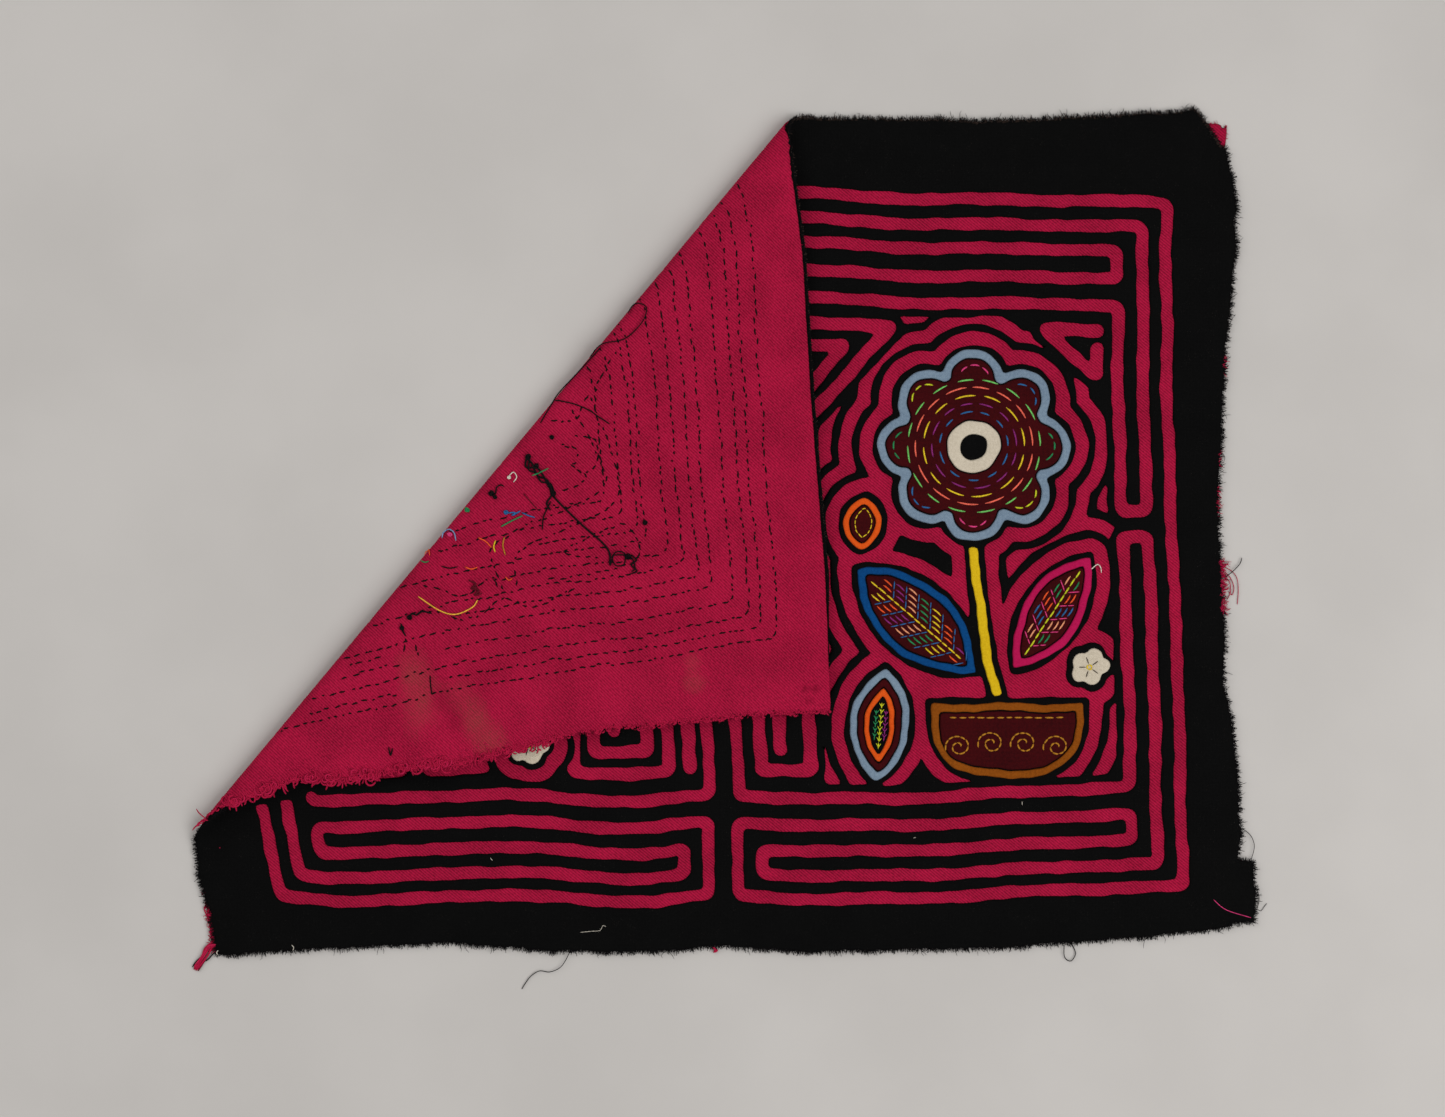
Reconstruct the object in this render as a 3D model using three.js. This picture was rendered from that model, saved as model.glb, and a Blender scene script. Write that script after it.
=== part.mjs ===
// A mola panel lying flat, its upper left corner folded over the rest.
// Two cotton sheets are sewn together face to back: a magenta backing and a black top cloth.
// The top cloth has a meander of channels cut through it, and appliqué patches sewn on its field.
// Millimetres, +Z up, +X along the long edge, the origin under the middle of the laid panel.
// Flat places are u (along X), v (along Y) and w (up through the layers) before the corner is folded.
import * as THREE from "three";

// Layers
const SHEET = 1.0;
const AIR = 0.3;
const TOP_LOW = SHEET + AIR;
const PATCH_LOW = TOP_LOW + SHEET + AIR;
const STACK = TOP_LOW + SHEET;

// Folded corner: the crease runs between two places on the cloth's edge.
const CREASE_TOP = { u: 25.5, v: 170.7 };
const CREASE_LEFT = { u: -215.0, v: -117.4 };
const LOOP_RADIUS = 4.6;
const LOOP_STEPS = 8;
const FLAP_AIR = 2.0;
const FLAP_REST = 2 * STACK + FLAP_AIR;
const FLAP_SETTLE = 60;
const FLAP_STEPS = 5;
const FLAP_TAKE_UP = 0.03;
const FLAP_SHEAR = 0.0726;
const BEND_LENGTH = Math.PI * (LOOP_RADIUS - STACK / 2);

// Ripples that run in from the flap's lower edge, at v, each width to a side.
const RIPPLES = [
  { v: -14, width: 9, height: 4.2 },
  { v: 15, width: 8, height: 2.6 },
];
const RIPPLE_FROM = -156;
const RIPPLE_FULL = -204;
const SEAM_BOW = 3;
const rippleRows = RIPPLES.flatMap(({ v, width }) => [-1.5, -0.8, 0, 0.8, 1.5].map((step) => v + step * width));
const rippleColumns = [0, 0.33, 0.67, 1].map((share) => RIPPLE_FROM + share * (RIPPLE_FULL - RIPPLE_FROM));

// Raw edge of the top cloth, clockwise from the folded corner.
const TOP_EDGE = [
  { u: -216.9, v: 160.9 },
  { u: -163.0, v: 164.1 },
  { u: -91.4, v: 167.4 },
  { u: -30.3, v: 171.6 },
  { u: 31.7, v: 172.3 },
  { u: 73.3, v: 171.9 },
  { u: 115.0, v: 171.0 },
  { u: 156.7, v: 173.1 },
  { u: 181.7, v: 174.4 },
  { u: 193.7, v: 176.0 },
  { u: 198.6, v: 175.3 },
];
const RIGHT_EDGE = [
  { u: 208.3, v: 161.5 },
  { u: 212.5, v: 134.4 },
  { u: 213.3, v: 118.5 },
  { u: 208.3, v: 71.9 },
  { u: 205.4, v: 9.4 },
  { u: 208.3, v: -42.7 },
  { u: 207.9, v: -63.5 },
  { u: 212.1, v: -84.4 },
  { u: 214.6, v: -126.0 },
  { u: 214.9, v: -134.5 },
  { u: 219.9, v: -137.3 },
];
const BOTTOM_EDGE = [
  { u: 220.1, v: -161.5 },
  { u: 177.5, v: -167.7 },
  { u: 115.0, v: -172.7 },
  { u: 31.7, v: -174.4 },
  { u: 0.4, v: -171.9 },
  { u: -30.8, v: -174.4 },
  { u: -72.5, v: -174.0 },
  { u: -114.2, v: -170.6 },
  { u: -187.0, v: -174.0 },
  { u: -207.9, v: -176.0 },
];
const LEFT_EDGE = [
  { u: -210.8, v: -175.0 },
  { u: -213.7, v: -159.4 },
  { u: -218.3, v: -142.7 },
  { u: -220.5, v: -126.0 },
  { u: -214.6, v: -108.9 },
  { u: -209.1, v: -77.6 },
  { u: -212.9, v: -47.2 },
  { u: -211.3, v: -30.9 },
  { u: -213.1, v: -5.0 },
  { u: -209.7, v: 51.0 },
  { u: -214.3, v: 128.4 },
];
const BACKING_INSET = 1.2;
const BACKING_CORNER = [
  { u: 197.5, v: 170.9 },
  { u: 209.6, v: 170.6 },
];

// Meander: channel centre lines, as distances out from the middle line and as heights v.
const CHANNEL = 5.0;
const CORNER_RADIUS = 3.6;
const STRAIGHT_STEP = 24;
const MIDDLE = -0.8;
const LANE = { centre: 6, hook: 16, inner: 167.5, second: 178, outer: 188 };
const UPPER = { outer: 139.8, second: 129.4, third: 119.4, fourth: 107.7, inner: 96.5, turn: 8.5 };
const LOWER = { outer: -151.9, second: -142.3, third: -132, fourth: -121.3, inner: -110.2, turn: -2.2 };
const FIELD_END = -70;
const LEFT_END = { outer: -114.5, second: -112.5, inner: -80 };
const SPREAD = 1.1e-4;
const SPREAD_LEVEL = -6;
const WANDER = 0.8;
// How the border's rows and lanes bow: the lower rows dip and rise, the upper rows fall to the right,
// the right lanes pinch and swell, the left lanes lean.
const DIP = { by: 2.0, at: -160, per: 19.9 };
const RISE = { by: 0.031, from: 40, start: -0.6 };
const FALL = { by: 0.033, from: 44, start: 1.25 };
const PINCH = { by: -2.0, at: 30, width: 40 };
const SWELL = { by: 1.5, at: -60, width: 30 };
const LEAN = { by: 0.26, at: -124, up: 10, down: 30 };

// Field: channels that run round inwards from their corners, a bar, and a channel that echoes the flower.
const SPIRAL_PITCH = 8.6;
const SPIRAL_CORNER = 3.4;
const SPIRALS = [
  [[156.5, 86], [134, 86], [156.5, 65]],
  [[22, 86], [71, 86], [22, 35]],
  [[15, -66], [15, -98.8], [36, -98.8], [36, -66]],
  [[-63, -66], [-63, -98.8], [-23.6, -98.8], [-23.6, -66]],
  [[-122, -70], [-122, -98.8], [-98, -98.8], [-98, -70]],
  [[-160, -78], [-160, -98.8], [-132, -98.8], [-132, -78]],
];
const BAR = [[-14.8, -72], [-14.8, -100]];
const SPIRAL_STEP = 7;
const ECHO = 5;

// Appliqué
const FLOWER = { u: 104, v: 36, petals: 8, reach: 27, lobe: 13, core: 32.4 };
const FLOWER_RIM = 3.6;
const RING = { outer: 11, inner: 5.5 };
const BLOSSOM = { u: 152, v: -56, petals: 5, reach: 4.6, lobe: 3.6, core: 5.4 };
const SECOND_BLOSSOM = { ...BLOSSOM, u: -81, v: -88.5 };
const BLUE_LEAF = { base: [105, -58], tip: [55, -15], half: 15 };
const PINK_LEAF = { base: [121, -57], tip: [152, -10], half: 12 };
const POD = { base: [67, -56], tip: [63, -104], half: 12.5 };
const BUD = { base: [57, -7], tip: [59, 15], half: 8 };
const LEAF_RIM = 3.2;
const POD_RIMS = [
  { node: "pod_rim", from: 0, to: 3.0 },
  { node: "pod_band", from: 3.3, to: 5.7 },
  { node: "pod_line", from: 6.0, to: 8.2 },
];
const BUD_RIM = 2.6;
const POT = { u: 118, top: -71, half: 32, depth: 31 };
const POT_RIM = 3.4;
const STEM = { from: [104.2, -6.5], by: [106, -40], to: [114, -68.5], width: 4 };
const ARC_STEPS = 10;

// Colours
const COLOUR = {
  magenta: 0x92132f,
  black: 0x0b0a0b,
  maroon: 0x3a0c0e,
  light_blue: 0x8aa4c4,
  blue: 0x144f96,
  pink: 0xc0316b,
  orange: 0xcf5a1c,
  yellow: 0xdcbd34,
  brown: 0x8a5a1c,
  white: 0xe2d8cc,
};

// Fold frame
const creaseLength = Math.hypot(CREASE_LEFT.u - CREASE_TOP.u, CREASE_LEFT.v - CREASE_TOP.v);
const along = {
  u: (CREASE_LEFT.u - CREASE_TOP.u) / creaseLength,
  v: (CREASE_LEFT.v - CREASE_TOP.v) / creaseLength,
};
const out = { u: along.v, v: -along.u };

// Distance past the line where the cloth starts to rise into the fold.
function pastBend(p) {
  return (p[0] - CREASE_TOP.u) * out.u + (p[1] - CREASE_TOP.v) * out.v + LOOP_RADIUS;
}

function ease(x) {
  const t = Math.min(1, Math.max(0, x));
  return t * t * (3 - 2 * t);
}

// Height of the flap's upper face, run past the loop, at a flat place.
function flapHeight(run, u, v) {
  let height = 2 * LOOP_RADIUS + (FLAP_REST - 2 * LOOP_RADIUS) * ease(run / FLAP_SETTLE);
  const fade = ease((RIPPLE_FROM - u) / (RIPPLE_FROM - RIPPLE_FULL));
  for (const ripple of RIPPLES) {
    height += fade * ripple.height * Math.exp(-(((v - ripple.v) / ripple.width) ** 2));
  }
  return height;
}

// The place in space of a flat place, once the corner is folded over.
function lay([u, v, w]) {
  const s = pastBend([u, v]);
  if (s <= 0) return [u, v, w];
  const t = (u - CREASE_TOP.u) * along.u + (v - CREASE_TOP.v) * along.v;
  let reach = -LOOP_RADIUS;
  let drift = t;
  let z = 0;
  if (s < BEND_LENGTH) {
    const angle = (Math.PI * s) / BEND_LENGTH;
    reach += (LOOP_RADIUS - w) * Math.sin(angle);
    z = LOOP_RADIUS - (LOOP_RADIUS - w) * Math.cos(angle);
  } else {
    const run = s - BEND_LENGTH;
    reach -= run * (1 - FLAP_TAKE_UP);
    drift += run * FLAP_SHEAR;
    z = flapHeight(run, u, v) - w;
  }
  return [
    CREASE_TOP.u + out.u * reach + along.u * drift,
    CREASE_TOP.v + out.v * reach + along.v * drift,
    z,
  ];
}

// Both sides of a polygon that the line where level is 0 crosses.
function splitPolygon(points, level) {
  const at = points.map((p) => {
    const d = level([p.x, p.y]);
    return Math.abs(d) < 2e-3 ? 0 : d;
  });
  if (Math.min(...at) >= 0 || Math.max(...at) <= 0) return [points];
  const sides = [[], []];
  points.forEach((p, i) => {
    const j = (i + 1) % points.length;
    if (at[i] >= 0) sides[0].push(p);
    if (at[i] <= 0) sides[1].push(p);
    if (at[i] * at[j] < 0) {
      const [low, high] = at[i] < 0 ? [i, j] : [j, i];
      const crossing = points[low].clone().lerp(points[high], at[low] / (at[low] - at[high]));
      sides.forEach((side) => side.push(crossing));
    }
  });
  return sides;
}

// Triangles of a cut piece of even thickness, its lower face at low.
function trianglesOf(shape, low) {
  const extruded = new THREE.ExtrudeGeometry(shape, { depth: SHEET, bevelEnabled: false });
  const flat = extruded.index ? extruded.toNonIndexed() : extruded;
  const at = flat.getAttribute("position");
  const triangles = [];
  for (let i = 0; i < at.count; i += 3) {
    triangles.push([i, i + 1, i + 2].map((k) => [at.getX(k), at.getY(k), at.getZ(k) + low]));
  }
  return triangles;
}

// The same for a piece divided into cells, with walls where a cell has no neighbour.
function trianglesOfCells(cells, low) {
  const high = low + SHEET;
  const key = (p, q) => [p.x, p.y, q.x, q.y].map((x) => x.toFixed(3)).join();
  const ends = (cell) => cell.map((p, i) => [p, cell[(i + 1) % cell.length]]);
  const edges = new Set(cells.flatMap((cell) => ends(cell).map(([p, q]) => key(p, q))));
  const triangles = [];
  for (const cell of cells) {
    for (const corners of THREE.ShapeUtils.triangulateShape(cell, [])) {
      const [a, b, c] = corners.map((i) => [cell[i].x, cell[i].y]);
      triangles.push([[...a, high], [...b, high], [...c, high]]);
      triangles.push([[...c, low], [...b, low], [...a, low]]);
    }
    for (const [p, q] of ends(cell)) {
      if (edges.has(key(q, p))) continue;
      triangles.push([[p.x, p.y, low], [q.x, q.y, low], [q.x, q.y, high]]);
      triangles.push([[p.x, p.y, low], [q.x, q.y, high], [p.x, p.y, high]]);
    }
  }
  return triangles;
}

// Lines across the flap along which a sheet is split so that it can bend.
function bendLines() {
  const lines = [];
  for (let i = 0; i <= LOOP_STEPS; i++) {
    lines.push((p) => pastBend(p) - (i * BEND_LENGTH) / LOOP_STEPS);
  }
  for (let i = 1; i <= FLAP_STEPS; i++) {
    lines.push((p) => pastBend(p) - BEND_LENGTH - (i * FLAP_SETTLE) / FLAP_STEPS);
  }
  for (const v of rippleRows) lines.push((p) => p[1] - v);
  for (const u of rippleColumns) lines.push((p) => p[0] - u);
  return lines;
}

// A cut piece of cloth: an outline, taken anticlockwise, and the holes in it.
function cutShape(outline, holes) {
  const clockwise = THREE.ShapeUtils.isClockWise(outline);
  const shape = new THREE.Shape(clockwise ? outline.slice().reverse() : outline);
  shape.holes.push(...holes.map((hole) => new THREE.Path(hole)));
  return shape;
}

function meshOf(name, colour, triangles) {
  const geometry = new THREE.BufferGeometry();
  geometry.setAttribute("position", new THREE.Float32BufferAttribute(triangles.flat(2), 3));
  geometry.computeVertexNormals();
  const material = new THREE.MeshStandardMaterial({ color: COLOUR[colour], roughness: 0.9 });
  const mesh = new THREE.Mesh(geometry, material);
  mesh.name = name;
  return mesh;
}

// Where the flap meets the rest: from one edge to the other, bowed a little away from the bend.
function bendSeam(from, to) {
  const bow = (share) => SEAM_BOW * Math.sin(Math.PI * share);
  const seam = [];
  for (const v of rippleRows) {
    const share = (v - from.y) / (to.y - from.y);
    const u = from.x + share * (to.x - from.x) - bow(share) / out.u;
    if (share > 0 && share < 1) seam.push({ share, at: new THREE.Vector2(u, v) });
  }
  for (const u of rippleColumns) {
    const share = (u - from.x) / (to.x - from.x);
    const v = from.y + share * (to.y - from.y) - bow(share) / out.v;
    if (share > 0 && share < 1) seam.push({ share, at: new THREE.Vector2(u, v) });
  }
  seam.sort((a, b) => a.share - b.share);
  return [from, ...seam.map(({ at }) => at), to];
}

// A sheet whose corner is folded over: the flat part with its holes, then the flap, joined at the seam.
function foldedSheet(name, colour, outline, holes, low) {
  const level = (p) => pastBend([p.x, p.y]);
  const ring = outline.flatMap((p, i) => {
    const q = outline[(i + 1) % outline.length];
    const crosses = level(p) * level(q) < 0;
    return crosses ? [p, p.clone().lerp(q, level(p) / (level(p) - level(q)))] : [p];
  });
  const leaves = ring.findIndex((p, i) => level(p) > 1e-6 && level(ring[(i + 1) % ring.length]) < 1e-6);
  const turned = [...ring.slice(leaves + 1), ...ring.slice(0, leaves + 1)];
  const enters = turned.findIndex((p) => level(p) > 1e-6) - 1;
  const flatEdge = turned.slice(1, enters);
  const flapEdge = turned.slice(enters + 1);
  const seam = bendSeam(turned[0], turned[enters]);
  const place = (u, v) => `${u.toFixed(3)},${v.toFixed(3)}`;
  const onSeam = new Set(seam.map((p) => place(p.x, p.y)));
  const isWall = (triangle) => triangle.some((p) => p[2] !== triangle[0][2]);
  const keep = (triangle) => !isWall(triangle) || !triangle.every(([u, v]) => onSeam.has(place(u, v)));
  const flat = trianglesOf(cutShape([...seam.slice().reverse(), ...flatEdge], holes), low);
  let cells = [[...seam, ...flapEdge].reverse()];
  for (const line of bendLines()) {
    cells = cells.flatMap((cell) => splitPolygon(cell, line));
  }
  const flap = trianglesOfCells(cells, low);
  return meshOf(name, colour, [...flat, ...flap].filter(keep).map((triangle) => triangle.map(lay)));
}

function patch(name, colour, outline, ...holes) {
  return meshOf(name, colour, trianglesOf(cutShape(outline, holes), PATCH_LOW));
}

function vector({ u, v }) {
  return new THREE.Vector2(u, v);
}

// The outline of a closed run of points, moved inwards by inset.
function insetOutline(points, inset) {
  return points.map((p, i) => {
    const before = points[(i + points.length - 1) % points.length];
    const after = points[(i + 1) % points.length];
    const d1 = p.clone().sub(before).normalize();
    const d2 = after.clone().sub(p).normalize();
    const inward = new THREE.Vector2(d1.y + d2.y, -d1.x - d2.x).normalize();
    const mitre = Math.max(0.5, inward.x * d1.y - inward.y * d1.x);
    return p.clone().addScaledVector(inward, inset / mitre);
  });
}

function wander(u, v) {
  const du = Math.sin(v / 23 + 0.7) + 0.5 * Math.sin(v / 9.1 + u / 40);
  const dv = Math.sin(u / 27 + 1.9) + 0.5 * Math.sin(u / 10.3 + v / 35);
  return new THREE.Vector2(u + WANDER * du, v + WANDER * dv);
}

function bell(x, { by, at, width }) {
  return by * Math.exp(-(((x - at) / width) ** 2));
}

// A place in the border or the field, as it bows on a piece that is drawn and sewn by hand.
function handDrawn(u, v) {
  const low = ease((-60 - v) / 45);
  const high = ease((v - 60) / 30);
  const dip = -DIP.by * Math.cos((u - DIP.at) / DIP.per) * ease(-u / 30);
  const rise = (RISE.by * Math.max(u - RISE.from, 0) + RISE.start) * ease(u / 40);
  const fall = FALL.start - FALL.by * (u - FALL.from);
  const lane = ease((u - 120) / 30) * (bell(v, SWELL) + bell(v, PINCH));
  const drop = Math.min(LEAN.down, Math.max(-LEAN.up, LEAN.at - v));
  const lean = LEAN.by * drop * Math.sqrt(Math.min(1, Math.max(0, (-u - 90) / 95))) * low;
  return wander(u + lane + lean, v + low * (dip + rise) + high * fall);
}

// A bent line with its corners rounded and its straights divided.
function roundedLine(points, radius, step) {
  const line = [points[0]];
  for (let i = 1; i < points.length - 1; i++) {
    const toLast = points[i - 1].clone().sub(points[i]);
    const toNext = points[i + 1].clone().sub(points[i]);
    toLast.setLength(Math.min(radius, toLast.length() / 2));
    toNext.setLength(Math.min(radius, toNext.length() / 2));
    for (const angle of [0, 0.33, 0.67, 1]) {
      const turn = (angle * Math.PI) / 2;
      const corner = points[i].clone();
      corner.addScaledVector(toLast, 1 - Math.sin(turn));
      corner.addScaledVector(toNext, 1 - Math.cos(turn));
      line.push(corner);
    }
  }
  line.push(points[points.length - 1]);
  return line.flatMap((p, i) => {
    if (i === 0) return [p];
    const length = p.distanceTo(line[i - 1]);
    const steps = length < AIR ? 0 : Math.max(1, Math.round(length / step));
    return Array.from({ length: steps }, (_, k) => line[i - 1].clone().lerp(p, (k + 1) / steps));
  });
}

// Distance from a place to a line.
function lineDistance(p, line) {
  const nearest = new THREE.Vector2();
  return Math.min(
    ...line.slice(1).map((q, i) => {
      const run = q.clone().sub(line[i]);
      const share = p.clone().sub(line[i]).dot(run) / run.lengthSq();
      nearest.copy(line[i]).addScaledVector(run, Math.min(1, Math.max(0, share)));
      return p.distanceTo(nearest);
    }),
  );
}

// The outline of a strip of even width along a line. Inside a tight turn its edge cuts the corner.
function strip(line, width) {
  const isOutside = (p) => lineDistance(p, line) > 0.92 * 0.5 * width;
  const sides = [[], []];
  line.forEach((p, i) => {
    const before = line[Math.max(0, i - 1)];
    const after = line[Math.min(line.length - 1, i + 1)];
    const d = after.clone().sub(before).normalize();
    const across = new THREE.Vector2(-d.y, d.x);
    sides[0].push(p.clone().addScaledVector(across, width / 2));
    sides[1].push(p.clone().addScaledVector(across, -width / 2));
  });
  return [...sides[0], ...sides[1].reverse()].filter(isOutside);
}

// A channel of the border, through turns given as lane and row, on one side of the middle line.
function channel(side, turns) {
  const line = roundedLine(turns.map(([a, v]) => new THREE.Vector2(a, v)), CORNER_RADIUS, STRAIGHT_STEP);
  return line.map((p) => handDrawn(MIDDLE + side * p.x * (1 - SPREAD * (p.y - SPREAD_LEVEL)), p.y));
}

// A line that runs round inside its corners, one pitch further in at each turn.
function spiral(corners) {
  const points = corners.map((corner) => new THREE.Vector2(...corner));
  const turn = THREE.ShapeUtils.isClockWise(points) ? -1 : 1;
  const side = (m) => {
    const from = points[m % points.length];
    const d = points[(m + 1) % points.length].clone().sub(from).normalize();
    const inward = new THREE.Vector2(-d.y, d.x).multiplyScalar(turn * SPIRAL_PITCH * Math.floor(m / points.length));
    return { from: from.clone().add(inward), d };
  };
  const line = [points[0]];
  for (let m = 0; m < 8 * points.length; m++) {
    const here = side(m);
    const next = side(m + 1);
    const apart = next.from.clone().sub(here.from);
    const meet = here.from.clone().addScaledVector(here.d, apart.cross(next.d) / here.d.cross(next.d));
    if (meet.clone().sub(line[line.length - 1]).dot(here.d) < 0.75 * SPIRAL_PITCH) break;
    line.push(meet);
  }
  return roundedLine(line, SPIRAL_CORNER, SPIRAL_STEP).map((p) => handDrawn(p.x, p.y));
}

// A line round the flower, an even distance out, as far as it is clear of the other patches.
function echo(others) {
  const line = petalled(FLOWER, -ECHO);
  const isClear = line.map((p) => others.every((outline) => lineDistance(p, [...outline, outline[0]]) > ECHO));
  const start = isClear.lastIndexOf(false) + 1;
  const turned = [...line.slice(start), ...line.slice(0, start)];
  return turned.slice(0, turned.findIndex((p) => !isClear[line.indexOf(p)]));
}

// The border's meander. Under the flap its channels stop short of the fold.
function meander() {
  const lowerFrame = [
    [LANE.outer, LOWER.outer],
    [LANE.centre, LOWER.outer],
    [LANE.centre, LOWER.fourth],
    [LANE.inner, LOWER.fourth],
    [LANE.inner, LOWER.third],
    [LANE.hook, LOWER.third],
    [LANE.hook, LOWER.second],
    [LANE.second, LOWER.second],
  ];
  const lowerField = [
    [LANE.inner, LOWER.inner],
    [LANE.centre, LOWER.inner],
    [LANE.centre, FIELD_END],
  ];
  const upperField = [
    [LANE.hook, UPPER.inner],
    [LANE.inner, UPPER.inner],
    [LANE.inner, UPPER.turn],
    [LANE.second, UPPER.turn],
    [LANE.second, UPPER.second],
    [LANE.hook, UPPER.second],
  ];
  const upperHairpin = [
    [LANE.hook, UPPER.third],
    [LANE.inner, UPPER.third],
    [LANE.inner, UPPER.fourth],
    [LANE.hook, UPPER.fourth],
  ];
  const rightFrame = [
    [LANE.hook, UPPER.outer],
    [LANE.outer, UPPER.outer],
    ...lowerFrame,
    [LANE.second, LOWER.turn],
    [LANE.inner, LOWER.turn],
    ...lowerField,
  ];
  const leftFrame = [[LANE.outer, LEFT_END.outer], ...lowerFrame, [LANE.second, LEFT_END.second]];
  const leftField = [[LANE.inner, LEFT_END.inner], ...lowerField];
  return [
    channel(1, upperField),
    channel(1, upperHairpin),
    channel(1, rightFrame),
    channel(-1, leftFrame),
    channel(-1, leftField),
  ];
}

// A leaf shape between two pointed ends, its rim moved inwards by inset.
function leaf({ base, tip, half }, inset) {
  const from = new THREE.Vector2(...base);
  const axis = new THREE.Vector2(...tip).sub(from);
  const length = axis.length();
  const middle = from.clone().addScaledVector(axis, 0.5);
  axis.normalize();
  const arc = (length * length * 0.25 + half * half) / (2 * half);
  const radius = arc - inset;
  const end = Math.acos((arc - half) / radius);
  const points = [];
  for (const side of [1, -1]) {
    for (let i = 0; i < ARC_STEPS; i++) {
      const angle = side * end * ((2 * i) / ARC_STEPS - 1);
      const a = radius * Math.sin(angle);
      const b = side * (radius * Math.cos(angle) - arc + half);
      points.push(new THREE.Vector2(middle.x + axis.x * a - axis.y * b, middle.y + axis.y * a + axis.x * b));
    }
  }
  return points;
}

// A round of overlapping petals about a core, its rim moved inwards by inset.
function petalled({ u, v, petals, reach, lobe, core }, inset) {
  const steps = petals * 8;
  return Array.from({ length: steps }, (_, i) => {
    const angle = (2 * Math.PI * i) / steps;
    const off = ((i % 8) / 8) * ((2 * Math.PI) / petals);
    const near = Math.min(off, (2 * Math.PI) / petals - off);
    const room = (lobe - inset) ** 2 - (reach * Math.sin(near)) ** 2;
    const lobed = room > 0 ? reach * Math.cos(near) + Math.sqrt(room) : 0;
    const r = Math.max(core - inset, lobed);
    return new THREE.Vector2(u + r * Math.cos(angle), v + r * Math.sin(angle));
  });
}

function circle({ u, v }, radius) {
  return Array.from({ length: 32 }, (_, i) => {
    const angle = (Math.PI * i) / 16;
    return new THREE.Vector2(u + radius * Math.cos(angle), v + radius * Math.sin(angle));
  });
}

// A bowl with a straight lip, its rim moved inwards by inset.
function bowl({ u, top, half, depth }, inset) {
  return Array.from({ length: 2 * ARC_STEPS + 1 }, (_, i) => {
    const angle = (Math.PI * i) / (2 * ARC_STEPS);
    const x = Math.sign(Math.cos(angle)) * Math.abs(Math.cos(angle)) ** 0.6;
    const drop = (depth - 2 * inset) * Math.max(0, Math.sin(angle)) ** 0.8;
    return new THREE.Vector2(u + (half - inset) * x, top - inset - drop);
  });
}

const topOutline = [...TOP_EDGE, ...RIGHT_EDGE, ...BOTTOM_EDGE, ...LEFT_EDGE].map(vector);
const backingOutline = insetOutline(topOutline, BACKING_INSET);
backingOutline.splice(TOP_EDGE.length - 1, 1, ...BACKING_CORNER.map(vector));

const stemCurve = new THREE.QuadraticBezierCurve(
  new THREE.Vector2(...STEM.from),
  new THREE.Vector2(...STEM.by),
  new THREE.Vector2(...STEM.to),
);

// Every cut through the top cloth.
function channels() {
  const stem = strip(stemCurve.getPoints(ARC_STEPS), STEM.width);
  const others = [...[BLUE_LEAF, PINK_LEAF, BUD].map((part) => leaf(part, 0)), stem];
  const bar = BAR.map(([u, v]) => handDrawn(u, v));
  const lines = [...meander(), ...SPIRALS.map(spiral), bar, echo(others)];
  return lines.map((line) => strip(line, CHANNEL));
}

const panel = new THREE.Group();
panel.name = "mola_panel";
panel.add(foldedSheet("backing_cloth", "magenta", backingOutline, [], 0));
panel.add(foldedSheet("top_cloth", "black", topOutline, channels(), TOP_LOW));
panel.add(patch("flower_rim", "light_blue", petalled(FLOWER, 0), petalled(FLOWER, FLOWER_RIM)));
panel.add(patch("flower_disc", "maroon", petalled(FLOWER, FLOWER_RIM + AIR), circle(FLOWER, RING.outer + AIR)));
panel.add(patch("flower_ring", "white", circle(FLOWER, RING.outer), circle(FLOWER, RING.inner)));
panel.add(patch("blue_leaf_rim", "blue", leaf(BLUE_LEAF, 0), leaf(BLUE_LEAF, LEAF_RIM)));
panel.add(patch("blue_leaf", "maroon", leaf(BLUE_LEAF, LEAF_RIM + AIR)));
panel.add(patch("pink_leaf_rim", "pink", leaf(PINK_LEAF, 0), leaf(PINK_LEAF, LEAF_RIM)));
panel.add(patch("pink_leaf", "maroon", leaf(PINK_LEAF, LEAF_RIM + AIR)));
const podColours = ["light_blue", "maroon", "orange"];
POD_RIMS.forEach(({ node, from, to }, i) => {
  panel.add(patch(node, podColours[i], leaf(POD, from), leaf(POD, to)));
});
panel.add(patch("bud_rim", "orange", leaf(BUD, 0), leaf(BUD, BUD_RIM)));
panel.add(patch("bud", "maroon", leaf(BUD, BUD_RIM + AIR)));
panel.add(patch("pot_rim", "brown", bowl(POT, 0), bowl(POT, POT_RIM)));
panel.add(patch("pot", "maroon", bowl(POT, POT_RIM + AIR)));
panel.add(patch("stem", "yellow", strip(stemCurve.getPoints(ARC_STEPS), STEM.width)));
panel.add(patch("blossom", "white", petalled(BLOSSOM, 0)));
panel.add(patch("second_blossom", "white", petalled(SECOND_BLOSSOM, 0)));

export default panel;
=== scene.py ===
# A mola panel: a magenta backing cloth and a black top cloth with turned-under channels, appliqué patches,
# embroidery and hand stitches, lying flat with its upper left corner folded over the rest.
# Shapes are worked out in millimetres, flat, as u (along X), v (along Y) and w (up through the layers),
# then laid into the folded shape in metres.
import math

import bpy
import numpy as np
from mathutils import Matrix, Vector
from mathutils.geometry import delaunay_2d_cdt
from mathutils.kdtree import KDTree


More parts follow.
